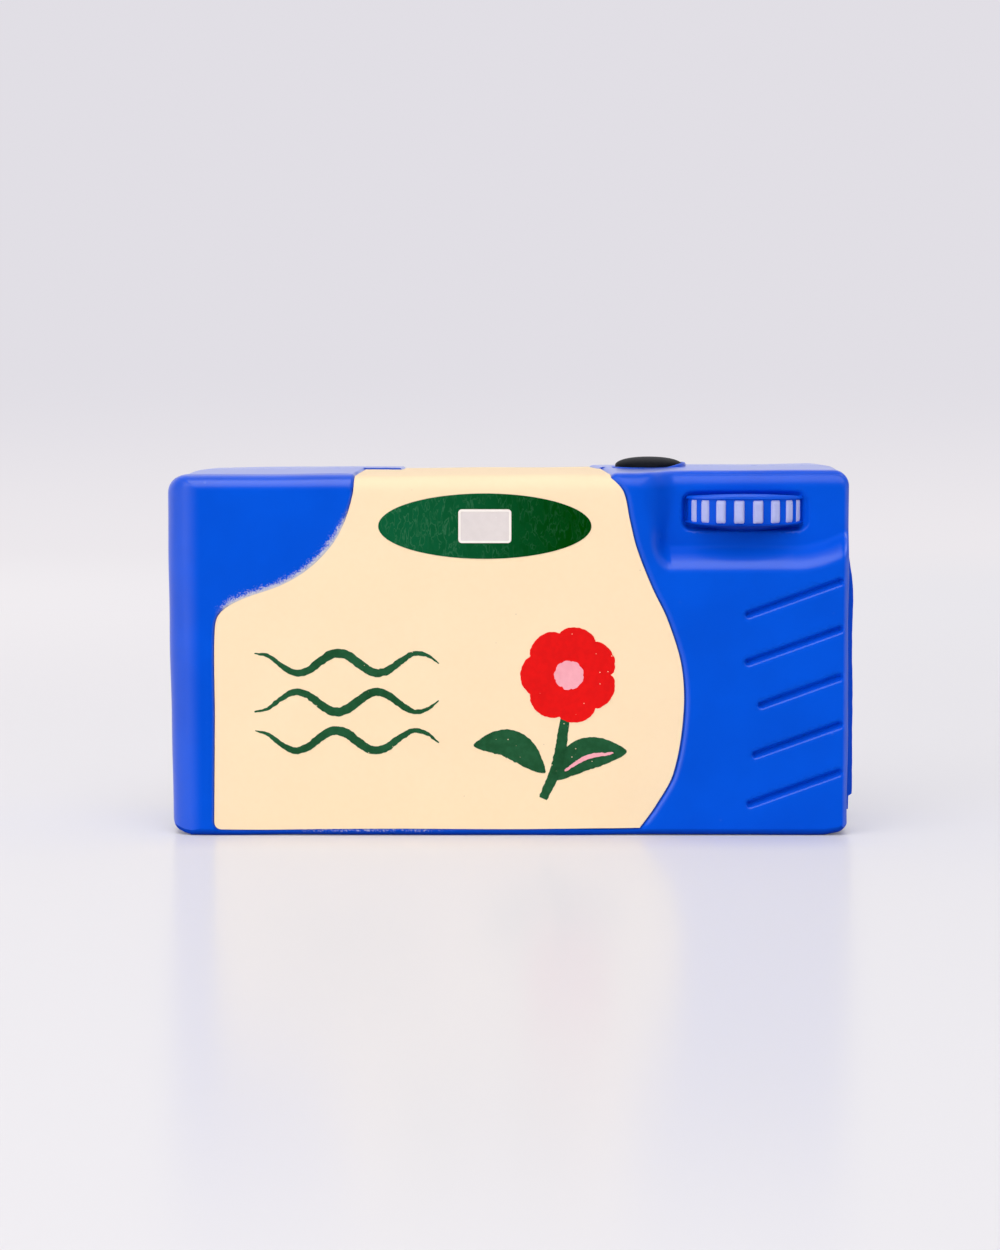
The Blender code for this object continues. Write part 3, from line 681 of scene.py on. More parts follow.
def coat_outline(half):
    """The edge of the coat on the flat sheet, anticlockwise from its lower right."""
    left_neck, right_neck = (np.array(neck) * MM for neck in NECKS[half.name])
    end = sheet_end(half)
    right = np.array((COAT_TIP, *(np.array(BELLY[::-1]) * MM), *right_neck[::-1]))
    left = np.array((*left_neck, *(np.array(SHOULDER) * MM), (COAT_LEFT, COAT_LOW + FOOT_RADIUS)))
    at_left, at_right = NECK_AT_PARTING[half.name]
    upper_right = np.array((right_neck[0], (at_right * MM, end)))
    upper_left = np.array(((at_left * MM, end), left_neck[0]))
    turns = np.linspace(math.pi, math.pi * 1.5, 6)
    foot = left[-1] + FOOT_RADIUS * (spokes(turns) + np.array((1, 0)))
    base = np.array((foot[-1], *(np.array(BASE_WAVER) * MM + np.array((0, COAT_LOW))), right[0]))
    top = np.array((upper_right[1], upper_left[0]))
    runs = [curve(run, COAT_STEP)[:-1] for run in (right, upper_right, top, upper_left, left)]
    return np.concatenate([*runs, foot[:-1], curve(base, COAT_STEP)[:-1]])


def signed_distance(points, outline):
    """Distance of each point from an outline, negative inside it."""
    least = np.full(len(points), 1.0)
    for start, stop in zip(outline, np.roll(outline, -1, 0)):
        along = stop - start
        share = np.clip((points - start) @ along / (along @ along), 0, 1)
        least = np.minimum(least, np.linalg.norm(points - start - share[:, None] * along, axis=1))
    return np.where(inside(points, outline), -least, least)


COAT = {half.name: coat_outline(half) for half in (NEAR, FAR)}
print("points on the coat's edge:", {name: len(edge) for name, edge in COAT.items()})

# %% [markdown]
# The eyepiece side has a bay for the film wheel at its upper right: a floor that is stepped down behind a
# wall and a sloping ledge. In it is a pocket with round corners for the wheel, and below it five slanted
# grip grooves. All of them are depths below the face, so each is a function of the place on the face.

# %% Bay, pocket and grooves
BAY_X, BAY_Z = near_high.x - 35.7 * MM, TOP - 17.3 * MM
BAY_DEPTH = 3.3 * MM
BAY_WALL_RUN, BAY_WALL_RUN_TOP, BAY_LEDGE_RUN = 3.2 * MM, 6.5 * MM, 5.0 * MM
BAY_WALL_SOFT_FROM, BAY_WALL_SOFT_RUN, BAY_WALL_KEEP = 13 * MM, 10 * MM, 0.6
BAY_ROUND = 1.2
BAY_CREST = 1.3
LEDGE_RISE, LEDGE_RISE_RUN = 2.7 * MM, 9.0 * MM
wheel_low, wheel_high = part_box("advance_wheel")
WHEEL = (wheel_low + wheel_high) / 2
POCKET_MIDDLE = (WHEEL.x + 0.15 * MM, WHEEL.z)
POCKET_SIZE = (20.8 * MM, 6.1 * MM)
POCKET_CORNER = 1.3 * MM
POCKET_DEPTH = 1.7 * MM
POCKET_EDGE = 0.8 * MM
SHALLOW_END, SHALLOW_END_FROM, SHALLOW_END_RUN = 0.7, 8.6 * MM, 1.6 * MM
SHALLOW_TOP, SHALLOW_TOP_FROM, SHALLOW_TOP_RUN = 0.5, 1.5 * MM, 1.2 * MM
GROOVE_ENDS_X = 54.7 * MM
GROOVE_TOP = TOP - 18.4 * MM
GROOVE_PITCH = 8.0 * MM
GROOVE_REACH = (15.2 * MM, 15.2 * MM, 13.0 * MM, 13.9 * MM, 14.8 * MM)
GROOVE_SLOPE = math.radians(19.8)
GROOVE_HALF = 0.86 * MM
GROOVE_DEPTH = 1.1 * MM
GROOVE_LIFT = 0.22 * MM


def bay_share(flat, grow=0):
    """How far down into the bay each place on the face lies, from 0 to 1."""
    x, z = flat[:, 0], flat[:, 1]
    rise = LEDGE_RISE * np.clip((x - RIGHT + NEAR.drafts[0] + LEDGE_RISE_RUN) / LEDGE_RISE_RUN, 0, 1) ** 2
    softer = ease((z - TOP + BAY_WALL_SOFT_FROM) / BAY_WALL_SOFT_RUN)
    run = between(BAY_WALL_RUN, BAY_WALL_RUN_TOP, softer)
    across = (x - BAY_X + BAY_WALL_KEEP * (run - BAY_WALL_RUN) + grow) / run
    upward = (z - BAY_Z + grow - rise) / BAY_LEDGE_RUN
    corner = np.hypot(np.maximum(BAY_ROUND - across, 0), np.maximum(BAY_ROUND - upward, 0))
    return ease(np.clip(BAY_ROUND - corner, 0, 1) ** BAY_CREST)


def rounded_box(flat, middle, size, radius):
    """Signed distance from a rectangle with round corners."""
    reach = np.abs(flat - np.array(middle)) - np.array(size) / 2 + radius
    return np.linalg.norm(np.maximum(reach, 0), axis=1) + np.minimum(reach.max(1), 0) - radius


GROOVES = []
for number, reach in enumerate(GROOVE_REACH):
    end = np.array((GROOVE_ENDS_X, GROOVE_TOP - number * GROOVE_PITCH))
    GROOVES.append((end - reach * np.array((1, math.tan(GROOVE_SLOPE))), end))


def groove_share(flat, groove):
    """How far each place lies from a groove's deepest line, as a share of the way to its edge."""
    start, end = groove
    along = end - start
    up = np.array((-along[1], along[0])) / np.linalg.norm(along)
    from_start = flat - start - GROOVE_LIFT * up
    share = np.clip(from_start @ along / (along @ along), 0, 1)
    away = from_start - share[:, None] * along
    distance = np.linalg.norm(away, axis=1)
    rim = GROOVE_HALF - GROOVE_LIFT * (away @ up) / np.maximum(distance, 1e-9)
    return np.clip(distance / rim, 0, 1)


def face_depth(flat):
    """Depth below the eyepiece face at each place."""
    deep = BAY_DEPTH * bay_share(flat)
    pocket = rounded_box(flat, POCKET_MIDDLE, POCKET_SIZE, POCKET_CORNER)
    at_end = SHALLOW_END * ease((flat[:, 0] - WHEEL.x - SHALLOW_END_FROM) / SHALLOW_END_RUN)
    at_top = SHALLOW_TOP * ease((flat[:, 1] - WHEEL.z - SHALLOW_TOP_FROM) / SHALLOW_TOP_RUN)
    deep = deep + POCKET_DEPTH * (1 - at_end) * (1 - at_top) * ease(0.5 - pocket / POCKET_EDGE)
    for groove in GROOVES:
        deep = deep + GROOVE_DEPTH * (0.5 + 0.5 * np.cos(math.pi * groove_share(flat, groove)))
    return deep


def inner_depth(flat):
    """Depth of the skin's inner side, which stays clear of the pocket."""
    return (BAY_DEPTH + POCKET_DEPTH) * bay_share(flat, 2 * WALL)


def no_depth(flat):
    """Depth below a plain face."""
    return np.zeros(len(flat))


print("grooves:", len(GROOVES), "pocket at", [round(v / MM, 1) for v in (WHEEL.x, WHEEL.z)])

# %% [markdown]
# The shutter button is a black dome that sinks into the top when it is pressed. It stands on the parting
# line, so each half leaves half a round hole for it in its top.

# %% Hole for the button
cap_low, cap_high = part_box("shutter_cap")
BUTTON_SHIFT = 0.35 * MM
BUTTON = (cap_low + cap_high) / 2 + Vector((BUTTON_SHIFT, 0, 0))
HOLE_RADIUS = 5.9 * MM


def wall_reach(half, flat):
    """How deep the wall of a half runs at each station: to the parting plane, or to the button's hole."""
    chord = np.sqrt(np.maximum(HOLE_RADIUS ** 2 - (flat[:, 0] - BUTTON.x) ** 2, 0))
    return half.depth - SEAM - np.where(ON_TOP, chord, 0)


# %% [markdown]
# Where the two mould halves meet, a thin and ragged fin of foam is left: the flash. It shows as small nicks
# along the outline. It is widest on the right, where it was not trimmed.

# %% Flash along the parting line
NICKS, NICKS_FROM, NICKS_ELSEWHERE = 0.24 * MM, 0.05, 0.2
RAGGED = ((610, 0.3), (1430, 1.7), (2300, 2.9), (3900, 0.9))
FLASH, FLASH_RAGGED = 0.98 * MM, 0.04 * MM
FLASH_LOW, FLASH_LOW_RUN = 4.4 * MM, 0.5 * MM
FLASH_HIGH, FLASH_HIGH_RUN = 49 * MM, 10 * MM
STUB, STUB_HIGH, STUB_RUN = 0.4 * MM, 14 * MM, 8 * MM


def flash_width(flat):
    """How far the fin stands out at each station."""
    x, z = flat[:, 0], flat[:, 1]
    ragged = sum(np.sin(rate * (x + 0.7 * z) + phase) for rate, phase in RAGGED) / len(RAGGED)
    on_right, on_left = FACING[:, 0] > 0.99, FACING[:, 0] < -0.5
    untrimmed = ease((z - FLASH_LOW) / FLASH_LOW_RUN) * ease((FLASH_HIGH - z) / FLASH_HIGH_RUN) * on_right
    nicks = NICKS * np.maximum(ragged - NICKS_FROM, 0) * np.where(on_left, 1, NICKS_ELSEWHERE)
    stub = STUB * ease((STUB_HIGH - z) / STUB_RUN) * on_right
    return nicks * (1 - untrimmed) + np.maximum(untrimmed * (FLASH + FLASH_RAGGED * ragged), stub)


# %% [markdown]
# Wear differs from place to place. Edges that stand out and face up are rubbed to a shine, and so are the
# fillets. Shade is painted into the colour: a painted shadow under the wheel and a darker blue along the
# base. Each of these is a function that gives a number for every place, and the mesh carries the numbers to
# the material. They could be painted on by hand as well, but then they would not follow a change of shape.

# %% Wear and painted shade
RUB_STEP, RUB_BEND, RUB_SLOPE, RUB_MOST = 0.12 * MM, 700, 1.6, 0.8
BAY_CORNER_X, BAY_CORNER_X_RUN = BAY_X + 6 * MM, 2 * MM
BAY_CORNER_Z, BAY_CORNER_Z_RUN = BAY_Z + 9 * MM, 5 * MM
# A painted shadow in the hollow under the wheel: its strength, middle and size.
PAINTED_WHEEL_SHADOW = 0.2
WHEEL_SHADOW_MIDDLE = np.array((WHEEL.x, WHEEL.z - 5.2 * MM))
WHEEL_SHADOW_SIZE = np.array((9, 2.6)) * MM
# Painted shade along the base fillet, strongest where it has turned under.
BASE_PAINTED_SHADE = 0.8
SHINE_LEFT, SHINE_RIGHT, SHINE_TOP = 1.15, 0.55, 1.9
SHINE_LEFT_TO, SHINE_RUN = 10 * MM, 10 * MM
END_SHINE, END_SHINE_LOSS = 2, 1.9


def rubbed(flat, depth_at):
    """How far each place is an edge that stands out and faces up, from 0 to 1."""
    moves = np.array(((1, 0), (-1, 0), (0, 1), (0, -1))) * RUB_STEP
    right, left, over, under = (depth_at(flat + move) for move in moves)
    bay_corner = ease((BAY_CORNER_X - flat[:, 0]) / BAY_CORNER_X_RUN)
    bay_corner = bay_corner * ease((BAY_CORNER_Z - flat[:, 1]) / BAY_CORNER_Z_RUN)
    facing_up = (over - under + RUB_MOST * bay_corner * (right - left)) / (2 * RUB_STEP)
    standing_out = (right + left + over + under - 4 * depth_at(flat)) / RUB_STEP ** 2
    return RUB_MOST * ease(facing_up * RUB_SLOPE) * ease(0.5 + standing_out / RUB_BEND)


def painted_wheel_shadow(flat):
    """How much shadow is painted into the hollow under the wheel."""
    away = np.linalg.norm((flat - WHEEL_SHADOW_MIDDLE) / WHEEL_SHADOW_SIZE, axis=1)
    return PAINTED_WHEEL_SHADOW * np.exp(-away ** 2)


def polish(flat, side):
    """How shiny a ring is, where side is 0 on the face and 1 on the wall."""
    rightward = ease((flat[:, 0] - SHINE_LEFT_TO) / SHINE_RUN)
    fillet = between(SHINE_LEFT, SHINE_RIGHT, rightward)
    top = between(fillet, SHINE_TOP, float(ease((side - 0.9) / 0.1)))
    worn = float(ease(1.5 * side)) * (1 + (top - 1) * TOPWARD) * ~ON_BASE
    return worn * np.where(FACING[:, 0] > 0.9, END_SHINE - END_SHINE_LOSS * side ** 6, 1)


# %% [markdown]
# Beside the coat the blue skin is stepped down by a hair, with a soft and shiny lip, and some spray has
# drifted over it: most along the shoulder on the left, where the mask lay loosely, and some along the base.
# Where the face turns into the top, the mould has left a crease.

# %% Skin beside the coat
LIP_DEPTH, LIP_DEPTH_LOOSE = 0.72 * MM, 0.34 * MM
LIP_RUN_RIGHT, LIP_RUN_LEFT, LIP_RUN_LOOSE = 1.05 * MM, 0.45 * MM, 1.5 * MM
LIP_RIGHT_FROM, LIP_RIGHT_RUN = -4 * MM, 8 * MM
LIP_MATT, LIP_MATT_FROM, LIP_MATT_RUN = 0.55, 22 * MM, 16 * MM
CREASE_DEPTH, CREASE_WIDTH = 0.26 * MM, 0.38 * MM
CREASE_RIGHT, CREASE_RIGHT_RUN = 26 * MM, 5 * MM
CREASE_LEFT, CREASE_LEFT_RUN, CREASE_LEFT_SHARE = -26 * MM, 2 * MM, 0.7
LOOSE_FROM, LOOSE_RUN = -12 * MM, 8 * MM
LOOSE_LOW, LOOSE_LOW_RUN = 36.5 * MM, 3 * MM
LOOSE_HIGH, LOOSE_HIGH_RUN = 57 * MM, 7 * MM
DRIFT_REACH = 0.75 * MM
DRIFT_ALL, DRIFT_LOOSE, DRIFT_BASE = 0.10, 0.85, 0.3
DRIFT_BASE_X, DRIFT_BASE_HALF, DRIFT_BASE_RUN = -24 * MM, 16 * MM, 8 * MM


def shoulder(sheet):
    """Where on the sheet the coat was sprayed loosely: along its shoulder on the left."""
    across, up = sheet[:, 0], sheet[:, 1]
    left = ease((LOOSE_FROM - across) / LOOSE_RUN)
    return left * ease((up - LOOSE_LOW) / LOOSE_LOW_RUN) * ease((LOOSE_HIGH - up) / LOOSE_HIGH_RUN)


def crease(half, sheet):
    """How deep the crease is where the face has turned into the top."""
    across, up = sheet[:, 0], sheet[:, 1]
    crest = top_start(half) + half.fillets[1] * math.pi / 2 + CREASE_WIDTH
    reach = ease((across - CREASE_RIGHT) / CREASE_RIGHT_RUN)
    reach = reach + CREASE_LEFT_SHARE * ease((CREASE_LEFT - across) / CREASE_LEFT_RUN)
    return CREASE_DEPTH * reach * np.exp(-((up - crest) / CREASE_WIDTH) ** 2) * (half.inward > 0)


def beside_coat(half, sheet):
    """How far the skin sinks, shines and is dusted at each place on the sheet."""
    across, up = sheet[:, 0], sheet[:, 1]
    away = signed_distance(sheet, COAT[half.name])
    right = ease((across - LIP_RIGHT_FROM) / LIP_RIGHT_RUN)
    loose = shoulder(sheet)
    run = between(LIP_RUN_LEFT, LIP_RUN_RIGHT, right) + (LIP_RUN_LOOSE - LIP_RUN_LEFT) * loose
    lip = between(LIP_DEPTH, LIP_DEPTH_LOOSE, loose)
    sink = lip * (1 - np.sqrt(1 - (1 - np.clip(away / run, 0, 1)) ** 2)) + crease(half, sheet)
    gloss = ease(1.6 * (1 - away / run)) * (1 - loose) * ease(up / MM - 1.5)
    gloss = gloss * (1 - LIP_MATT * right * ease((up - LIP_MATT_FROM) / LIP_MATT_RUN))
    on_base = ease(2 - up / MM) * ease((DRIFT_BASE_HALF - np.abs(across - DRIFT_BASE_X)) / DRIFT_BASE_RUN)
    spray = DRIFT_ALL + DRIFT_LOOSE * loose + DRIFT_BASE * on_base
    return sink, gloss, spray * np.exp(-np.maximum(away, 0) / DRIFT_REACH)


# %% [markdown]
# Now a half can be put together: the face is filled with triangles, and rings of quads carry it round the
# fillet and down the wall to the parting plane. The same function at a depth inside gives the inner side of
# the skin and the core.

# %% Surface of a half
FIN_THICK = 0.3 * MM
UNDER_FILLET = (0.02, 0.04, 0.06)
# Besides dust and shine, a surface carries how much shade is painted into each point.
Surface = namedtuple("Surface", "points faces rim drift shade shine")


def up_the_sheet(half, turn, flat, deep):
    """How far up the flat sheet the points of a ring lie."""
    over = top_start(half) + half.fillets[1] * turn + np.maximum(deep - half.fillets[1], 0)
    under = half.fillets[3] * (1 - turn) - np.maximum(deep - half.fillets[3], 0)
    return np.where(ON_TOP, over, np.where(ON_BASE, under, flat[:, 1]))


def ring_stops(half, fillet_steps, wall_steps, coated):
    """The turns round the fillet and the shares of the way down the wall at which the rings lie."""
    stops = [(math.pi / 2 * k / fillet_steps, 0) for k in range(fillet_steps + 1)]
    downs = UNDER_FILLET if coated else ()
    downs = (*downs, *(k / wall_steps for k in range(1, wall_steps)), 1 - FIN_THICK / half.depth, 1)
    return stops + [(math.pi / 2, down) for down in downs]


def half_surface(half, inset, depth_at, fillet_steps, wall_steps, grid, dots=(), coated=False):
    """One half's surface at an inset, from the middle of its face to the parting plane."""
    rows, outward, sheets, shines, painted_shades = [], [], [], [], []
    for turn, down in ring_stops(half, fillet_steps, wall_steps, coated):
        flat, deep = ring(half, inset, turn, down)
        extra = depth_at(flat) * (1 - down)
        deep = between(deep, wall_reach(half, flat), down) + extra
        lean = by_side(half.drafts) * extra / half.depth
        spread = flat + FACING * lean[:, None]
        if down == 1 and inset == 0:
            spread = spread + FACING * (flash_width(flat) * ~ON_BASE)[:, None]
        rows.append(np.stack([spread[:, 0], half.face + half.inward * deep, spread[:, 1]], 1))
        side = math.sin(turn)
        shines.append(polish(flat, side))
        # Painted shade on the rings of the base fillet.
        painted_shades.append(BASE_PAINTED_SHADE * math.sqrt(side) * ON_BASE)
        front = np.full(len(flat), -half.inward * math.cos(turn))
        outward.append(np.stack([FACING[:, 0] * side, front, FACING[:, 1] * side], 1))
        sheets.append(np.stack([flat[:, 0], up_the_sheet(half, turn, flat, deep)], 1))
    boundary = ring(half, inset, 0, 0)[0]
    flat, triangles = fill([boundary], grid, False, dots)
    inner = flat[len(boundary):]
    face = np.stack([inner[:, 0], half.face + half.inward * (inset + depth_at(inner)), inner[:, 1]], 1)
    points = np.concatenate([rows[0], face, *rows[1:]])
    shine = np.concatenate([shines[0], rubbed(inner, depth_at), *shines[1:]])
    # Painted shade on the base rings, and a painted shadow under the wheel on the near face.
    shade = np.concatenate([painted_shades[0], painted_wheel_shadow(inner) * coated * (half.inward > 0), *painted_shades[1:]])
    drift = np.zeros(len(points))
    if coated:
        normals = np.concatenate([outward[0], np.tile(outward[0][:1], (len(inner), 1)), *outward[1:]])
        sink, gloss, drift = beside_coat(half, np.concatenate([sheets[0], inner, *sheets[1:]]))
        shine = np.maximum(shine, gloss)
        points = points + normals * (swell(points) - sink)[:, None]
    count = len(boundary)
    numbers = [np.arange(count), *(row + len(flat) for row in ring_numbers(len(rows) - 1, count))]
    faces = triangles + bands(numbers[::-1])
    if half.inward < 0:
        faces = flipped(faces)
    return Surface(settle(points), faces, numbers[-1], drift, shade, shine)


# %% [markdown]
# The near skin needs a fine mesh at the pocket, the grooves and the coat's edge, so points are sown along
# lines beside them.

# %% Lines that the near skin has to follow
def beside(distance, outline):
    """An outline moved outward by a distance."""
    along = np.roll(outline, -1, 0) - np.roll(outline, 1, 0)
    along = along / np.linalg.norm(along, axis=1)[:, None]
    return outline + distance * np.stack([along[:, 1], -along[:, 0]], 1)


def stadium(groove, radius, step):
    """The outline of a groove at a distance from its middle line."""
    start, end = groove
    along = (end - start) / np.linalg.norm(end - start)
    across = np.array((-along[1], along[0]))
    turns = np.linspace(-math.pi / 2, math.pi / 2, 9)[:, None]
    cap = radius * (np.cos(turns) * along + np.sin(turns) * across)
    count = round(np.linalg.norm(end - start) / step)
    share = (np.arange(1, count) / count)[:, None]
    upper = end + across * radius + (start - end) * share
    lower = start - across * radius + (end - start) * share
    return np.concatenate([end + cap, upper, start - cap, lower])


def box_outline(middle, size, radius, step):
    """Points round a rectangle with round corners."""
    points = []
    for corner in range(4):
        sign = np.array(((1, 1), (-1, 1), (-1, -1), (1, -1))[corner])
        turns = (corner + np.linspace(0, 1, 7)) * math.pi / 2
        points.append(np.array(middle) + sign * (np.array(size) / 2 - radius) + radius * spokes(turns))
    points = np.concatenate(points)
    dense = []
    for start, stop in zip(points, np.roll(points, -1, 0)):
        count = max(round(np.linalg.norm(stop - start) / step), 1)
        dense.append(between(start, stop, (np.arange(count) / count)[:, None]))
    return np.concatenate(dense)


LINE_STEP, LINE_GAP = 0.25 * MM, 0.06 * MM
POCKET_LINES_AT = (-0.4, -0.2, 0, 0.2, 0.4)
GROOVE_LINES_AT = (0.2, 0.4, 0.6, 0.8, 1.0)
COAT_LINES_AT = (-0.3, -0.05, 0.06, 0.16, 0.3, 0.5, 0.75, 1.0)
BAY_GRID, BAY_GRID_GAP = 0.33 * MM, 0.2 * MM


def coat_lines(half, gap):
    """Lines along the edge of a half's coat, each with the gap to keep from other points."""
    return [(beside(k * MM, COAT[half.name]), gap) for k in COAT_LINES_AT]


groove_lines = []
for groove in GROOVES:
    for share in GROOVE_LINES_AT:
        groove_lines.append((stadium(groove, GROOVE_HALF * share, LINE_STEP), LINE_GAP))
pocket_lines = []
for edge in POCKET_LINES_AT:
    size = np.array(POCKET_SIZE) + 2 * edge * MM
    pocket_lines.append((box_outline(POCKET_MIDDLE, size, POCKET_CORNER + edge * MM, LINE_STEP), LINE_GAP))
bay_columns = np.arange(BAY_X - MM, RIGHT, BAY_GRID)
bay_rows = np.arange(BAY_Z - MM, TOP, BAY_GRID)
bay_points = np.stack(np.meshgrid(bay_columns, bay_rows), -1).reshape(-1, 2)
near_dots = [*coat_lines(NEAR, 0.1 * MM), *groove_lines, *pocket_lines, (bay_points, BAY_GRID_GAP)]
far_dots = coat_lines(FAR, 0.15 * MM)
print("lines in the near face:", len(near_dots), "and in the far face:", len(far_dots))

# %% [markdown]
# Each skin is a closed shell: its outer and inner sides are joined by a narrow rim at the parting plane.

# %% Skins
def shell(name, half, outer, inner):
    """A closed skin from an outer and an inner surface."""
    count = len(outer.points)
    rim = bands([inner.rim + count, outer.rim])
    if half.inward < 0:
        rim = flipped(rim)
    faces = outer.faces + renumbered(flipped(inner.faces), count) + rim
    piece = add_piece(name, np.concatenate([outer.points, inner.points]), faces, BLUE, 60)
    mark(piece, "drift", np.concatenate([outer.drift, inner.drift]))
    # The painted shade goes to the material with the dust and the shine.
    mark(piece, "shade", np.concatenate([outer.shade, inner.shade]))
    mark(piece, "shine", np.concatenate([outer.shine, inner.shine]))
    return piece


OUTER_STEPS, INNER_STEPS, INNER_GRID = 12, 3, 3 * MM
near_outer = half_surface(NEAR, 0, face_depth, 14, OUTER_STEPS, 0.55 * MM, near_dots, coated=True)
near_inner = half_surface(NEAR, WALL, inner_depth, INNER_STEPS, INNER_STEPS, INNER_GRID)
near_skin = shell("near_skin", NEAR, near_outer, near_inner)
far_outer = half_surface(FAR, 0, no_depth, 12, OUTER_STEPS, 0.9 * MM, far_dots, coated=True)
far_inner = half_surface(FAR, WALL, no_depth, INNER_STEPS, INNER_STEPS, INNER_GRID)
far_skin = shell("far_skin", FAR, far_outer, far_inner)

# %% [markdown]
# The core is the open foam inside. It is out of sight, but it fills the skins.

# %% Core
CORE_GAP = 0.3 * MM
core_near = half_surface(NEAR, WALL + CORE_GAP, inner_depth, INNER_STEPS, INNER_STEPS, INNER_GRID)
core_far = half_surface(FAR, WALL + CORE_GAP, no_depth, INNER_STEPS, INNER_STEPS, INNER_GRID)
count = len(core_near.points)
core_faces = core_near.faces + renumbered(core_far.faces, count)
core_faces += bands([core_far.rim + count, core_near.rim])
core = add_piece("foam_filling", np.concatenate([core_near.points, core_far.points]), core_faces, FOAM, 60)

# %% [markdown]
# The coat is a film a fifth of a millimetre thick, wrapped over the face and the top of each half. Its edge
# wavers a little, as a sprayed edge does.

# %% Cream coat
COAT_SINK, COAT_THICK, COAT_GRID = 0.28 * MM, 0.2 * MM, 0.9 * MM
COAT_GAP, COAT_GAP_RIGHT, COAT_GAP_HIGH_SHARE = 0.04 * MM, 0.16 * MM, 0.4
GAP_RIGHT_FROM, GAP_RIGHT_RUN = 8 * MM, 8 * MM
GAP_LOW_FROM, GAP_LOW_RUN = 30 * MM, 10 * MM


def coat(half):
    """The coat of one half, which stops just short of the lip beside it."""
    edge = COAT[half.name]
    low = between(COAT_GAP_HIGH_SHARE, 1, ease((GAP_LOW_FROM - edge[:, 1]) / GAP_LOW_RUN))
    gap = COAT_GAP + COAT_GAP_RIGHT * low * ease((edge[:, 0] - GAP_RIGHT_FROM) / GAP_RIGHT_RUN)
    outline = beside(-gap[:, None], edge)
    return film(f"{half.name}_coat", half, [outline], COAT_SINK, COAT_THICK, COAT_GRID, CREAM)


near_coat = coat(NEAR)
far_coat = coat(FAR)

# %% [markdown]
# A printed finder lies on the coat on both sides: a green oval with a pale window in it. The ink is thick
# and has dried with small wrinkles. A paler band round the inside of the window is a painted highlight on
# its rim.

# %% Printed finders
INK = 0.05 * MM
INK_SINK = COAT_SINK - INK
FINDER_SHIFT = 0.22 * MM
WINDOW_TRIM, WINDOW_CORNER = 0.25 * MM, 0.6 * MM
# The pane is inset by the width of the painted rim highlight.
RIM_HIGHLIGHT_WIDTH, PANE_SINK = 0.4 * MM, INK_SINK + 0.01 * MM
RIM_HIGHLIGHT_GAP = 0.02 * MM


def oval_outline(middle, size, step):
    """Points round an oval."""
    turns = np.linspace(0, 2 * math.pi, round(math.pi * sum(size) / 2 / step), endpoint=False)
    return np.array(middle) + np.array(size) / 2 * spokes(turns)


def node_place(node, shift=0):
    """The middle and the size of a node, as seen on the face."""
    low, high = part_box(node)
    return ((low.x + high.x) / 2 + shift, (low.z + high.z) / 2), (high.x - low.x, high.z - low.z)


def finder(half, oval_node, window_node):
    """The oval and the window of one side, as films where their nodes are."""
    oval = oval_outline(*node_place(oval_node, FINDER_SHIFT), 0.25 * MM)
    middle, size = node_place(window_node, FINDER_SHIFT)
    opening = box_outline(middle, np.array(size) - WINDOW_TRIM, WINDOW_CORNER, 0.3 * MM)
    inner = beside(-RIM_HIGHLIGHT_WIDTH, opening)
    edge = beside(-RIM_HIGHLIGHT_GAP, opening)
    name = f"{half.name}_finder"
    surround = film(f"{name}_surround", half, [oval, opening], INK_SINK, INK, 0.5 * MM, GREEN, holes=True)
    pane = film(f"{name}_pane", half, [inner], PANE_SINK, INK, 0.8 * MM, PALE)
    # A painted highlight along the window's rim, as a pale film between the pane and the oval.
    border = film(f"{name}_border", half, [edge, inner], INK_SINK, INK, 0.5 * MM, WINDOW_RIM_HIGHLIGHT, holes=True)
    return surround, pane, border


near_finder = finder(NEAR, "eyepiece_finder_oval", "eyepiece_finder_window")
far_finder = finder(FAR, "lens_finder_oval", "lens_finder_window")

# %% [markdown]
# The coat carries a plain screen print: a round red flower with two leaves on the right, and three green
# waves on the left. Every stroke is a band along a curved line, which swells and tapers like one of a
# brush, and the edge of each shape is a little ragged, as ink on foam is.

# %% Shapes of the print
PRINT_STEP = 0.25 * MM
RAGGED_INK = 0.05 * MM
hand = np.random.default_rng(11)


def ragged(outline):
    """An outline with a slightly uneven edge."""
    shake = hand.normal(0, RAGGED_INK, len(outline))
    return beside(((shake + np.roll(shake, 1)) / 2)[:, None], outline)


def stroke(anchors, width, blunt=0.3):
    """A band along a curve, widest in its middle. Blunt is the share of the width that its ends keep."""
    spine = curve(np.array(anchors) * MM, PRINT_STEP)
    along = np.gradient(spine, axis=0)
    along = along / np.linalg.norm(along, axis=1)[:, None]
    share = np.linspace(0, 1, len(spine))
    half = width * MM / 2 * between(blunt, 1, np.sin(math.pi * share) ** 0.8)
    across = np.stack([along[:, 1], -along[:, 0]], 1) * half[:, None]
    return ragged(np.concatenate([spine + across, (spine - across)[::-1]]))


def blossom(middle, radius, petals, dip):
    """A round flower with scalloped petals."""
    turns = np.linspace(0, 2 * math.pi, round(2 * math.pi * radius * MM / PRINT_STEP), endpoint=False)
    reach = radius * MM * (1 - dip + dip * np.abs(np.sin(turns * petals / 2)) ** 0.6)
    return ragged(np.array(middle) * MM + reach[:, None] * spokes(turns))


FLOWER = (9.5, 27.0)
WAVE_HEIGHTS = (16.0, 22.5, 29.0)
WAVE_RISE, WAVE_RATE, WAVE_WIDTH = 1.7, 0.47, 1.5
WAVE_FROM, WAVE_TO, WAVE_STEP = -43, -11, 2.2


def wave(height):
    """One wavy stroke, which starts a little further along its wave on each line."""
    along = np.arange(WAVE_FROM, WAVE_TO, WAVE_STEP)
    anchors = [(x, height + WAVE_RISE * math.cos((x + height) * WAVE_RATE)) for x in along]
    return stroke(anchors, WAVE_WIDTH, 0.12)


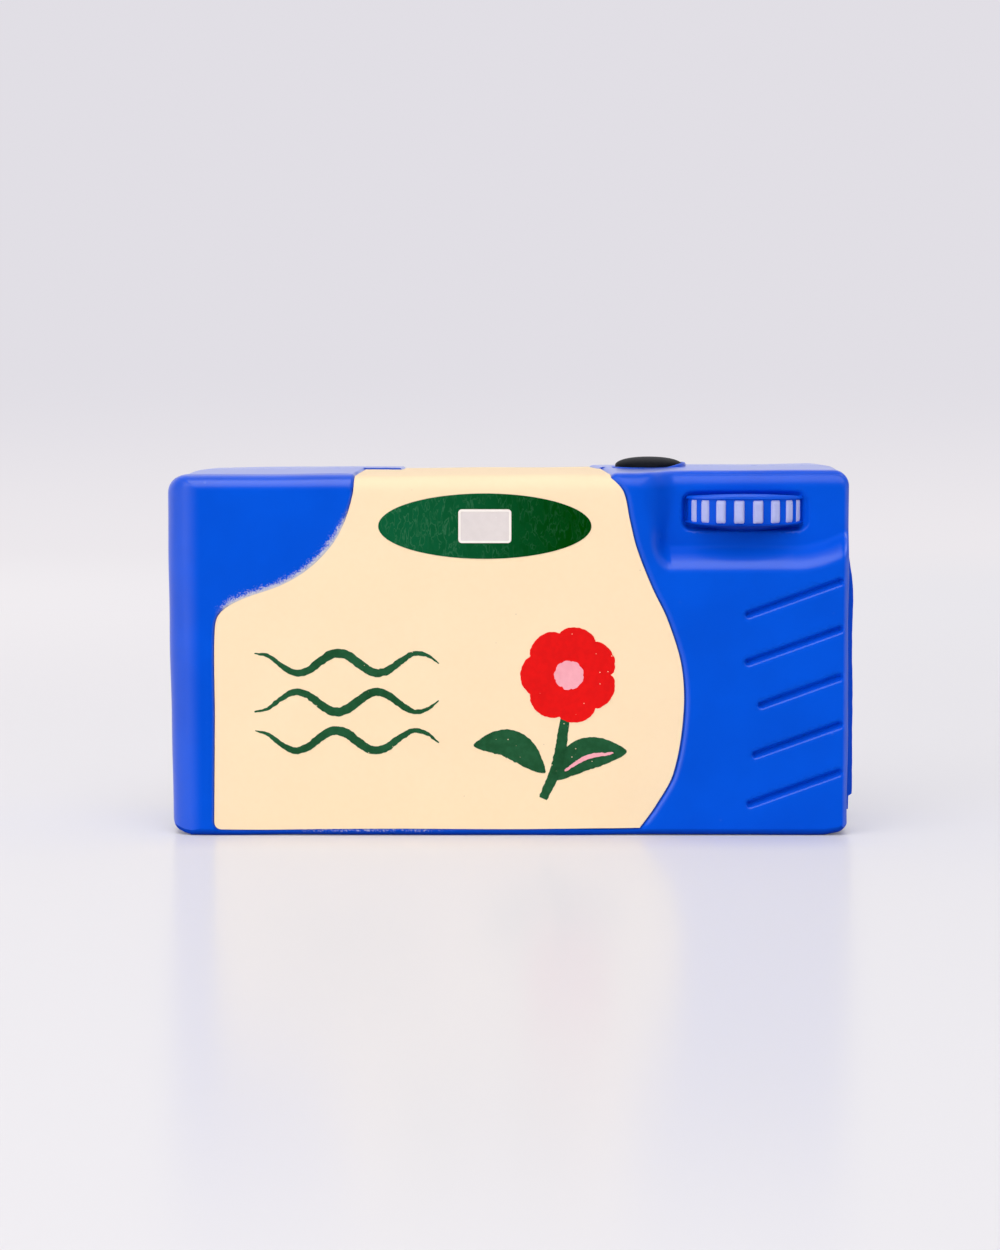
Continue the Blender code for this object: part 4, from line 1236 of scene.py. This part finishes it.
stem = [stroke(((5.2, 6.2), (7.6, 12.0), (9.0, 20.5)), 1.9, 0.7),
        stroke(((6.6, 9.4), (12.0, 13.6), (19.2, 14.2)), 5.4, 0.06),
        stroke(((5.6, 10.6), (-0.2, 15.4), (-6.4, 15.2)), 4.8, 0.06)]
flower = [blossom(FLOWER, 8.1, 7, 0.13)]
heart = [blossom(FLOWER, 2.5, 9, 0.08), stroke(((8.8, 10.9), (12.6, 13.2), (17.0, 13.9)), 0.75, 0.3)]
waves = [wave(height) for height in WAVE_HEIGHTS]
print("strokes in the print:", sum(len(shapes) for shapes in (stem, flower, heart, waves)))

# %% [markdown]
# Inks are printed one after another, so each lies a little higher than the one under it. Every shape
# becomes a thin film on the coat. An image texture would be simpler, but films keep a crisp edge at any
# distance.

# %% Printing it
PRINT_LAYERS = (("print_stem", stem, LEAF, 0.03 * MM), ("print_flower", flower, RED, 0.05 * MM),
                ("print_heart", heart, PINK, 0.07 * MM), ("print_waves", waves, LEAF, 0.03 * MM))
PRINT_GRID = 0.6 * MM
near_prints = []
for name, shapes, ink, above in PRINT_LAYERS:
    for number, shape in enumerate(shapes):
        label = f"{name}_{number + 1}"
        near_prints.append(film(label, NEAR, [shape], COAT_SINK - above, above, PRINT_GRID, ink))

# %% [markdown]
# The film wheel is moulded into its pocket: a flattened drum with round rims above and below, and a sunken
# band between them, from which the painted ribs stand out.

# %% Film wheel
rib_low, rib_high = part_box("wheel_rib_4")
WHEEL_HALF = 9.85 * MM
WHEEL_BULGE = 4.35 * MM
WHEEL_LINE = NEAR.face + BAY_DEPTH + 1.1 * MM
WHEEL_BACK = NEAR.face + BAY_DEPTH + POCKET_DEPTH + 0.3 * MM
FOOT_ROUND, HEAD_ROUND = 0.95 * MM, 0.5 * MM
FOOT_Z = (wheel_low.z + 0.8 * MM, wheel_low.z - 0.3 * MM)
BAND_LOW_Z = (rib_low.z + 0.3 * MM, rib_low.z - 0.15 * MM)
BAND_HIGH_Z = (rib_high.z + 0.1 * MM, rib_high.z + 0.1 * MM)
HEAD_Z = (wheel_high.z - 0.3 * MM, wheel_high.z + 0.15 * MM)
BAND_SINK = 0.35 * MM
RIM_ROUNDED, RIM_UPRIGHT, RIM_STEPPED = 0.72, 0.86, 0.93
WHEEL_SHINE, WHEEL_SHINE_TOP, WHEEL_SHINE_RUN = 0.1, 0.6, 0.3 * MM
# Painted shade on the wheel's underside, from just above the foot of the ribs down.
WHEEL_PAINTED_SHADE_RISE, WHEEL_PAINTED_SHADE_RUN = 0.25 * MM, 0.6 * MM
WHEEL_STEPS = 72


def wheel_loop(shrink, at_ends, in_middle):
    """A line round the wheel, from a height at its ends to one in its middle."""
    turns = np.linspace(-math.pi / 2, math.pi / 2, WHEEL_STEPS)
    x = WHEEL.x + (WHEEL_HALF - shrink) * np.sin(turns)
    y = WHEEL_LINE - (WHEEL_BULGE - shrink) * np.cos(turns)
    z = between(at_ends, in_middle, np.cos(turns) ** 2)
    ends = np.array(((x[-1], WHEEL_BACK, z[-1]), (x[0], WHEEL_BACK, z[0])))
    return np.concatenate([np.stack([x, y, z], 1), ends])


def rim(outer, inner, bend):
    """The lines of one rim, from its outer edge to the sunken band: rounded, then upright, then a step in."""
    lines = []
    for turn in np.linspace(0, math.pi / 2, 8):
        lines.append((bend * (1 - math.sin(turn)), RIM_ROUNDED * (1 - math.cos(turn))))
    lines += [(0, RIM_UPRIGHT), (BAND_SINK * 0.5, RIM_STEPPED), (BAND_SINK, 1)]
    heights = []
    for shrink, share in lines:
        heights.append((shrink, *(between(a, b, share) for a, b in zip(outer, inner))))
    return heights


wheel_stops = rim(FOOT_Z, BAND_LOW_Z, FOOT_ROUND) + rim(HEAD_Z, BAND_HIGH_Z, HEAD_ROUND)[::-1]
loops = [wheel_loop(*stop) for stop in wheel_stops]
numbers = ring_numbers(len(loops), len(loops[0]))
wheel_faces = bands(numbers) + [tuple(int(k) for k in numbers[0][::-1]), tuple(int(k) for k in numbers[-1])]
wheel = add_piece("film_wheel", np.concatenate(loops), wheel_faces, BLUE)
wheel_heights = np.concatenate(loops)[:, 2]
upper = ease((wheel_heights - BAND_HIGH_Z[0]) / WHEEL_SHINE_RUN)
mark(wheel, "shine", between(WHEEL_SHINE, WHEEL_SHINE_TOP, upper))
# Painted shade on the underside of the wheel, below its ribs.
mark(wheel, "shade", ease((BAND_LOW_Z[1] + WHEEL_PAINTED_SHADE_RISE - wheel_heights) / WHEEL_PAINTED_SHADE_RUN))

# %% [markdown]
# The ribs repeat, so Geometry Nodes make them: one small block is set on a point for each rib, the copies
# are made real, and a formula bends every block onto the flattened round of the wheel. The same tree serves
# the grip round the lens, with other inputs.

# %% Geometry nodes for ribs round an oval
RIB_NUMBERS = ("Pitch", "Spread", "Turn", "Half width", "Half depth", "Length", "Rise", "Sag", "Fade")
RIB_VECTORS = ("Middle", "Across", "Out", "Along")
RIB_INPUTS = {"Count": "NodeSocketInt"}
RIB_INPUTS.update(dict.fromkeys(RIB_NUMBERS, "NodeSocketFloat"))
RIB_INPUTS.update(dict.fromkeys(RIB_VECTORS, "NodeSocketVector"))


def rib_tree(name, finish):
    """The node tree that sets ribs round an oval."""
    tree = bpy.data.node_groups.new(name, "GeometryNodeTree")
    for label, kind in RIB_INPUTS.items():
        tree.interface.new_socket(label, in_out="INPUT", socket_type=kind)
    tree.interface.new_socket("Geometry", in_out="OUTPUT", socket_type="NodeSocketGeometry")
    entry = tree.nodes.new("NodeGroupInput")
    given = {label: Wire(tree, entry.outputs[label]) for label in RIB_INPUTS}
    start = given["Count"]
    line = start.add("GeometryNodeMeshLine", None, {"Count": given["Count"], "Offset": (0, 0, 0)})
    number = start.add("GeometryNodeInputIndex")
    line = start.add("GeometryNodeStoreNamedAttribute", {"data_type": "FLOAT", "domain": "POINT"},
                     {"Geometry": line, "Name": "rib", "Value": number})
    block = start.add("GeometryNodeMeshCube", None,
                      {"Size": (1, 1, 1), "Vertices X": 9, "Vertices Y": 4, "Vertices Z": 15})
    copies = start.add("GeometryNodeInstanceOnPoints", None, {"Points": line, "Instance": block})
    real = start.add("GeometryNodeRealizeInstances", None, {"Geometry": copies})
    rib = start.add("GeometryNodeInputNamedAttribute", {"data_type": "FLOAT"}, {"Name": "rib"})
    place = start.add("GeometryNodeInputPosition")
    split = place.axis(0)
    u, w, v = (split.output(k) for k in range(3))
    round_u = 1 - (u * 2).math("ABSOLUTE").math("POWER", 6.0) * 0.55
    round_v = 1 - (v * 2).math("ABSOLUTE").math("POWER", 10.0) * 0.55
    angle = (rib - (given["Count"] - 1) * 0.5) * given["Pitch"] + u * given["Spread"] + given["Turn"]
    lower = 1 - given["Fade"] * (1 - angle.math("COSINE"))
    lift = (0.5 - w) * given["Rise"] * round_u * round_v * lower
    parts = ((given["Across"], (given["Half width"] + lift) * angle.math("SINE")),
             (given["Out"], (given["Half depth"] + lift) * angle.math("COSINE")),
             (given["Along"], v * given["Length"] - (0.5 - v) * given["Sag"] * angle.math("COSINE")))
    total = given["Middle"]
    for direction, amount in parts:
        scaled = total.add("ShaderNodeVectorMath", {"operation": "SCALE"}, {0: direction, "Scale": amount})
        total = total.add("ShaderNodeVectorMath", {"operation": "ADD"}, {0: total, 1: scaled})
    moved = start.add("GeometryNodeSetPosition", None, {"Geometry": real, "Position": total})
    smooth = start.add("GeometryNodeSetShadeSmooth", None, {0: moved})
    whole = start.add("GeometryNodeRealizeInstances", None, {"Geometry": smooth})
    painted = start.add("GeometryNodeSetMaterial", None, {"Geometry": whole, "Material": finish})
    leave = tree.nodes.new("NodeGroupOutput")
    painted.into(leave, "Geometry")
    return tree


def ribs_round(name, finish, **values):
    """A plain mesh of ribs from the tree and its inputs."""
    piece = add_object(name, bpy.data.meshes.new(name))
    tree = rib_tree(name, finish)
    modifier = piece.modifiers.new(name, "NODES")
    modifier.node_group = tree
    for item in tree.interface.items_tree:
        if item.in_out == "INPUT":
            modifier[item.identifier] = values[item.name.replace(" ", "_")]
    evaluated = piece.evaluated_get(bpy.context.evaluated_depsgraph_get())
    piece.data = bpy.data.meshes.new_from_object(evaluated)
    piece.modifiers.clear()
    piece.data.set_sharp_from_angle(angle=math.radians(45))
    print(f"{name}: {len(piece.data.vertices)} points")
    return piece


RIB_TRIM, RIB_LIFT = 0.45 * MM, 0.18 * MM
RIB_INSET_X, RIB_INSET_Y = 0.32 * MM, 0.6 * MM
ribs = ribs_round(
    "wheel_ribs", WHITE_AND_PAINTED_SHADE, Count=8, Pitch=math.radians(18.6), Spread=math.radians(10.2), Turn=math.radians(3),
    Half_width=WHEEL_HALF - RIB_INSET_X, Half_depth=WHEEL_BULGE - RIB_INSET_Y,
    Length=rib_high.z - rib_low.z - RIB_TRIM, Rise=0.68 * MM, Sag=0.4 * MM, Fade=1.0,
    Middle=(WHEEL.x, WHEEL_LINE, (rib_low.z + rib_high.z) / 2 + RIB_LIFT),
    Across=(1, 0, 0), Out=(0, -1, 0), Along=(0, 0, 1))

# %% [markdown]
# Round pieces are turned: a profile of radius and height is spun about an axis. Blender's Screw modifier
# does this, and a few lines of numpy do it too, with a closed pole and the place already in the points.

# %% Turning a profile
ROUND_STEPS = 96


def turned(name, profile, middle, axis, finish, steps=ROUND_STEPS, sharp=35):
    """A closed round piece from a profile that starts and ends on the axis."""
    turns = np.linspace(0, 2 * math.pi, steps, endpoint=False)
    rows = []
    for radius, along in profile:
        flat = (radius * np.cos(turns), radius * np.sin(turns), np.full(steps, along))
        rows.append(np.stack(flat if axis == "z" else (flat[0], flat[2], -flat[1]), 1))
    points = np.concatenate(rows) + np.array(middle)
    numbers = ring_numbers(len(profile), steps)
    ends = []
    for radius, along in (profile[0], profile[-1]):
        ends.append(np.array(middle) + np.array((0, 0, along) if axis == "z" else (0, along, 0)))
    count = len(points)
    faces = bands(numbers)
    for k in range(steps):
        following = (k + 1) % steps
        faces.append((count, int(numbers[0][following]), int(numbers[0][k])))
        faces.append((count + 1, int(numbers[-1][k]), int(numbers[-1][following])))
    return add_piece(name, np.concatenate([points, ends]), faces, finish, sharp)


# %% [markdown]
# The button is a low black dome. Its foot stands in the hole in the top, so that it can sink, and a blue
# collar of foam runs round it. On one side the foam has crept up over the dome.

# %% Button and its collar
BUTTON_TOP = TOP + TOP_SLOPE * BUTTON.x
CAP_RADIUS, CAP_ROUND = 5.72 * MM, 0.88
CAP_FOOT, CAP_SHOULDER = BUTTON_TOP - 0.1 * MM, BUTTON_TOP + 0.22 * MM
CAP_TOP = cap_high.z - 0.4 * MM
COLLAR_INNER, COLLAR_OUTER, COLLAR_SPLAY = 5.8 * MM, 6.35 * MM, 0.1 * MM
COLLAR_RISE, COLLAR_CREEP, CREEP_FROM = 0.06 * MM, 0.7 * MM, 0.35
COLLAR_FOOT, COLLAR_BROW = BUTTON_TOP - 0.6 * MM, BUTTON_TOP - 0.05 * MM
COLLAR_SHINE = 0.8

cap_profile = [(CAP_RADIUS, CAP_FOOT), (CAP_RADIUS, CAP_SHOULDER)]
for turn in np.linspace(0, math.pi / 2, 14)[1:-1]:
    height = between(CAP_SHOULDER, CAP_TOP, math.sin(turn))
    cap_profile.append((CAP_RADIUS * math.cos(turn) ** CAP_ROUND, height))
cap = turned("button_cap", cap_profile, (BUTTON.x, BUTTON.y, 0), "z", BLACK)

collar_rows = []
collar_middle = (COLLAR_INNER + COLLAR_OUTER) / 2
for turn in np.linspace(0, 2 * math.pi, ROUND_STEPS, endpoint=False):
    rise = COLLAR_RISE + COLLAR_CREEP * float(ease((math.cos(turn) - CREEP_FROM) / (1 - CREEP_FROM)))
    section = [(COLLAR_INNER, COLLAR_FOOT), (COLLAR_OUTER + COLLAR_SPLAY, COLLAR_FOOT)]
    for bend in np.linspace(0, math.pi, 9):
        reach = between(collar_middle, COLLAR_OUTER, math.cos(bend))
        section.append((reach, COLLAR_BROW + rise * math.sin(bend)))
    across, back = math.cos(turn), math.sin(turn)
    collar_rows.append([(BUTTON.x + r * across, BUTTON.y + r * back, z) for r, z in section])
numbers = ring_numbers(len(collar_rows), len(collar_rows[0]))
collar_faces = flipped(bands([*numbers, numbers[0]]))
collar = add_piece("button_collar", np.concatenate(collar_rows), collar_faces, BLUE)
mark(collar, "shine", np.full(len(collar.data.vertices), COLLAR_SHINE))

# %% [markdown]
# The lens side has a raised collar with a fine grip, and a dark dome in it. Both are turned, and the grip
# is the rib tree once more.

# %% Lens
ring_low, ring_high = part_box("lens_ring")
dome_low, dome_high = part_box("lens_dome")
LENS = (ring_low + ring_high) / 2
LENS_RADIUS = (ring_high.x - ring_low.x) / 2
DOME_RADIUS = (dome_high.x - dome_low.x) / 2
LENS_FOOT, LENS_RIM = ring_low.y, ring_high.y
LENS_NECK, LENS_NECK_RIM = LENS_RADIUS - 0.6 * MM, LENS_RIM - 1.6 * MM
OUTER_BEVEL, OUTER_BEVEL_AT = 1.1 * MM, LENS_RADIUS - 1.2 * MM
INNER_BEVEL, INNER_BEVEL_AT = 0.8 * MM, DOME_RADIUS + 0.3 * MM
BORE_EDGE, BORE_END, BORE_RADIUS = LENS_RIM - 2.2 * MM, LENS_RIM - 2.4 * MM, DOME_RADIUS - MM
DOME_FOOT, DOME_START = LENS_RIM - 2.3 * MM, LENS_RIM - 2.1 * MM
GRIP_INSET = 0.9 * MM

bends = np.linspace(0, math.pi / 2, 6)
lens_profile = [(BORE_RADIUS, LENS_FOOT), (LENS_NECK, LENS_FOOT), (LENS_NECK, LENS_NECK_RIM)]
for bend in bends:
    lens_profile.append((OUTER_BEVEL_AT + OUTER_BEVEL * math.cos(bend),
                         LENS_RIM - OUTER_BEVEL * (1 - math.sin(bend))))
for bend in bends:
    lens_profile.append((INNER_BEVEL_AT + INNER_BEVEL * (1 - math.sin(bend)),
                         LENS_RIM - INNER_BEVEL * (1 - math.cos(bend))))
lens_profile += [(INNER_BEVEL_AT, BORE_EDGE), (BORE_RADIUS, BORE_END)]
lens_collar = turned("lens_collar", lens_profile, (LENS.x, 0, LENS.z), "y", BLUE)

dome_profile = [(DOME_RADIUS, DOME_FOOT)]
for turn in np.linspace(0, math.pi / 2, 14)[:-1]:
    height = between(DOME_START, dome_high.y, math.sin(turn))
    dome_profile.append((DOME_RADIUS * math.cos(turn), height))
lens_dome = turned("lens_glass", dome_profile, (LENS.x, 0, LENS.z), "y", BLACK)

grip = ribs_round(
    "lens_grip", BLUE, Count=60, Pitch=math.radians(6), Spread=math.radians(3.4), Turn=0.0,
    Half_width=LENS_RADIUS - GRIP_INSET, Half_depth=LENS_RADIUS - GRIP_INSET,
    Length=1.7 * MM, Rise=0.85 * MM, Sag=0.0, Fade=0.0, Middle=(LENS.x, LENS_RIM - 2.1 * MM, LENS.z),
    Across=(1, 0, 0), Out=(0, 0, 1), Along=(0, 1, 0))

# %% [markdown]
# Beside the lens is a flash: a pale panel with a plain border and fine upright ridges, like the prisms in
# front of a flash tube. The ridges are real relief in the film's front.

# %% Flash panel
FLASH_CORNER, FLASH_BORDER = 1.2 * MM, 0.9 * MM
FLASH_SINK, FLASH_THICK, FLASH_GRID = -0.12 * MM, 0.3 * MM, 0.2 * MM
PRISM_RISE, PRISM_PITCH = 0.10 * MM, 1.6 * MM
flash_middle, flash_size = node_place("flash_window")


def prisms(flat):
    """Fine upright ridges of the flash panel, which stop short of its border."""
    border = ease(-rounded_box(flat, flash_middle, flash_size, FLASH_CORNER) / FLASH_BORDER - 0.6)
    ridges = 0.5 + 0.5 * np.cos((flat[:, 0] - flash_middle[0]) * 2 * math.pi / PRISM_PITCH)
    return border * PRISM_RISE * ridges


flash_outline = box_outline(flash_middle, flash_size, FLASH_CORNER, 0.3 * MM)
flash = film("flash_panel", FAR, [flash_outline], FLASH_SINK, FLASH_THICK, FLASH_GRID, PALE, relief=prisms)

# %% [markdown]
# What moves: the eyepiece half is squeezed in as a whole, and the foam between the two faces flattens.
# Each piece is attached to the body it rides on: the near pieces to the eyepiece half, the far pieces and
# those of the lens to the lens half, and the cap to the shutter. The share of the thickness that is left
# at the full squeeze is worked out as well.

# %% Riding on the bodies
squeeze = next(joint for joint in frame["joints"] if joint["name"] == "squeeze")
thickness = FAR.face - NEAR.face
KEEP = (thickness - max(squeeze["range_m"])) / thickness
near_pieces = [near_skin, near_coat, *near_finder, *near_prints, wheel, ribs]
far_pieces = [far_skin, far_coat, *far_finder, core, collar]
lens_pieces = [lens_collar, lens_dome, grip, flash]
for piece in near_pieces:
    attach(piece, "eyepiece_half")
    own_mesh(piece)
for piece in far_pieces:
    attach(piece, "lens_half")
    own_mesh(piece)
for piece in lens_pieces:
    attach(piece, "lens_half")
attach(cap, "shutter")
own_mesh(cap)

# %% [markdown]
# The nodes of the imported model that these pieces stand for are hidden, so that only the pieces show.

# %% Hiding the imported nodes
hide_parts("eyepiece_side_skin")
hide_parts("lens_side_skin")
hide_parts("foam_core")
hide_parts("eyepiece_side_coat")
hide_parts("lens_side_coat")
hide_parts("eyepiece_finder_oval")
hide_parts("eyepiece_finder_window")
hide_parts("lens_finder_oval")
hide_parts("lens_finder_window")
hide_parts("advance_wheel")
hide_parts(*[f"wheel_rib_{k}" for k in range(1, 9)])
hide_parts("shutter_cap")
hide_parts("shutter_riser")
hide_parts("lens_ring")
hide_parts("lens_dome")
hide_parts("flash_window")

# %% [markdown]
# The stage is a glossy white table top in front of a pale wall. Both shine a little by themselves where the
# camera sees them, so that they stay as even as in a studio, except close to the toy, where its shadow
# lies. Wide planes are enough, because nothing of them is part of the toy.

# %% Floor and wall
def stage_plane(name, points, finish):
    """A plane of the stage, from its four corners."""
    mesh = bpy.data.meshes.new(name)
    mesh.from_pydata(points, [], [(0, 1, 2, 3)])
    mesh.materials.append(finish)
    plane = add_object(name, mesh)


def glow_over(place, matt, share, tint):
    """Ends a material of the stage: its matt side, with a share of its own light over it."""
    glow = place.add("ShaderNodeEmission", None, {"Color": tint})
    blend = place.add("ShaderNodeMixShader", None, {0: share, 1: matt, 2: glow})
    blend.into(place.tree.nodes["Material Output"], "Surface")


FLOOR_COLOUR = (0.80, 0.785, 0.805, 1)
FLOOR_GLOSS, FLOOR_ROUGHNESS = 0.2, 0.2
FLOOR_GLOW = (0.88, 0.85, 0.875, 1)
FLOOR_GLOW_RIGHT = (0.81, 0.795, 0.835, 1)
GLOW_SHARE, GLOW_WIDE = 0.45, 200 * MM
GLOW_ALL_FROM, GLOW_ALL_AT = 80 * MM, 450 * MM
CONTACT_Y, CONTACT_FROM, CONTACT_TO = -20 * MM, 3 * MM, 18 * MM
CONTACT_END_FROM, CONTACT_END_TO, CONTACT_LOSS = 50 * MM, 68 * MM, 0.8
WALL_HIGH = (0.755, 0.735, 0.785, 1)
WALL_LOW = (0.84, 0.81, 0.84, 1)
WALL_MIRRORED = (0.97, 0.96, 1.0, 1)
TABLE_FADE, TABLE_GONE, TABLE_BACK = 500 * MM, 760 * MM, 746 * MM
WALL_AT, WALL_FADE_LOW, WALL_FADE_HIGH = 1.6, -60 * MM, 50 * MM

finish, shader, place = new_finish("table_top", 0.9, Specular_IOR_Level=0.0, Base_Color=FLOOR_COLOUR)
gloss = place.add("ShaderNodeBsdfGlossy", None, {"Color": (1, 1, 1, 1), "Roughness": FLOOR_ROUGHNESS})
matt = Wire(place.tree, shader.outputs[0])
matt = place.add("ShaderNodeMixShader", None, {0: FLOOR_GLOSS, 1: matt, 2: gloss})
across, back = place.axis(0), place.axis(1)
tint = across.step(-GLOW_WIDE, GLOW_WIDE).mix(FLOOR_GLOW, FLOOR_GLOW_RIGHT)
tint = back.step(TABLE_FADE, TABLE_GONE).mix(tint, WALL_LOW)
far_off = back.step(GLOW_ALL_FROM, GLOW_ALL_AT)
contact = 1 - (back - CONTACT_Y).math("ABSOLUTE").step(CONTACT_FROM, CONTACT_TO)
contact = contact * (1 - across.math("ABSOLUTE").step(CONTACT_END_FROM, CONTACT_END_TO))
seen = place.add("ShaderNodeLightPath")
shown = seen.math("MAXIMUM", seen.output("Is Glossy Ray"))
share = shown * (far_off * (1 - GLOW_SHARE) + GLOW_SHARE) * (1 - contact * CONTACT_LOSS)
glow_over(place, matt, share, tint)
stage_plane("table", [(-3, -2, 0), (3, -2, 0), (3, TABLE_BACK, 0), (-3, TABLE_BACK, 0)], finish)

finish, shader, place = new_finish("wall", 0.95, Specular_IOR_Level=0.0, Base_Color=WALL_HIGH)
seen = place.add("ShaderNodeLightPath")
mirrored = seen.output("Is Glossy Ray")
tint = place.axis(2).step(WALL_FADE_LOW, WALL_FADE_HIGH).mix(WALL_LOW, WALL_HIGH)
tint = mirrored.mix(tint, WALL_MIRRORED)
glow_over(place, Wire(place.tree, shader.outputs[0]), seen.math("MAXIMUM", mirrored), tint)
corners = [(-4, WALL_AT, -1), (4, WALL_AT, -1), (4, WALL_AT, 3), (-4, WALL_AT, 3)]
stage_plane("backdrop", corners, finish)
print("floor and wall are staged")

# %% [markdown]
# Three soft lights: a large one above and in front, a weak one at the left that draws the left fillet, and
# one over the table behind. The room around them is dimmer in front, which is what the shiny edges mirror.

# %% Lights
def softbox(name, place, aim, size, power):
    """A rectangular light that is turned towards its aim."""
    light = bpy.data.lights.new(name, "AREA")
    light.shape = "RECTANGLE"
    light.size, light.size_y = size
    light.energy = power
    lamp = add_object(name, light)
    lamp.location = place
    lamp.rotation_euler = (Vector(aim) - Vector(place)).to_track_quat("-Z", "Y").to_euler()


AIM = (0, 0, 0.03)
softbox("left", (-0.9, -0.9, 0.45), AIM, size=(1.2, 1.0), power=6.0)
softbox("front", (0, -0.95, 1.6), AIM, size=(1.5, 1.9), power=21)
softbox("back", (0, 0.9, 1.3), (0, 0.9, 0), size=(2.4, 1.0), power=3)
ROOM_LIGHT = (0.46, 0.455, 0.47, 1)
ROOM_DARK = (0.26, 0.26, 0.265, 1)
ROOM_DARK_TO = -0.55
world = bpy.data.worlds.new("studio")
world.use_nodes = True
sky = Wire(world.node_tree, world.node_tree.nodes.new("ShaderNodeTexCoord").outputs["Generated"])
room = sky.axis(1).step(-1.0, ROOM_DARK_TO).mix(ROOM_DARK, ROOM_LIGHT)
room.into(world.node_tree.nodes["Background"], "Color")
bpy.context.scene.world = world
bpy.context.scene.view_settings.view_transform = "Standard"
print("lights:", len(bpy.data.lights))

# %% [markdown]
# The camera looks almost straight at the face from a little above, with a long lens.

# %% Camera
CAMERA = Vector((-2 * MM, NEAR.face - 648 * MM, 90 * MM))
CAMERA_TILT = math.radians(4.815)
FOCAL_PIXELS = 3900
IMAGE_HEIGHT = 1250
camera = bpy.data.cameras.new("photo")
camera.lens = FOCAL_PIXELS / IMAGE_HEIGHT * camera.sensor_width
viewer = add_object("photo", camera)
viewer.location = CAMERA
viewer.rotation_euler = (math.pi / 2 - CAMERA_TILT, 0, 0)
bpy.context.scene.camera = viewer
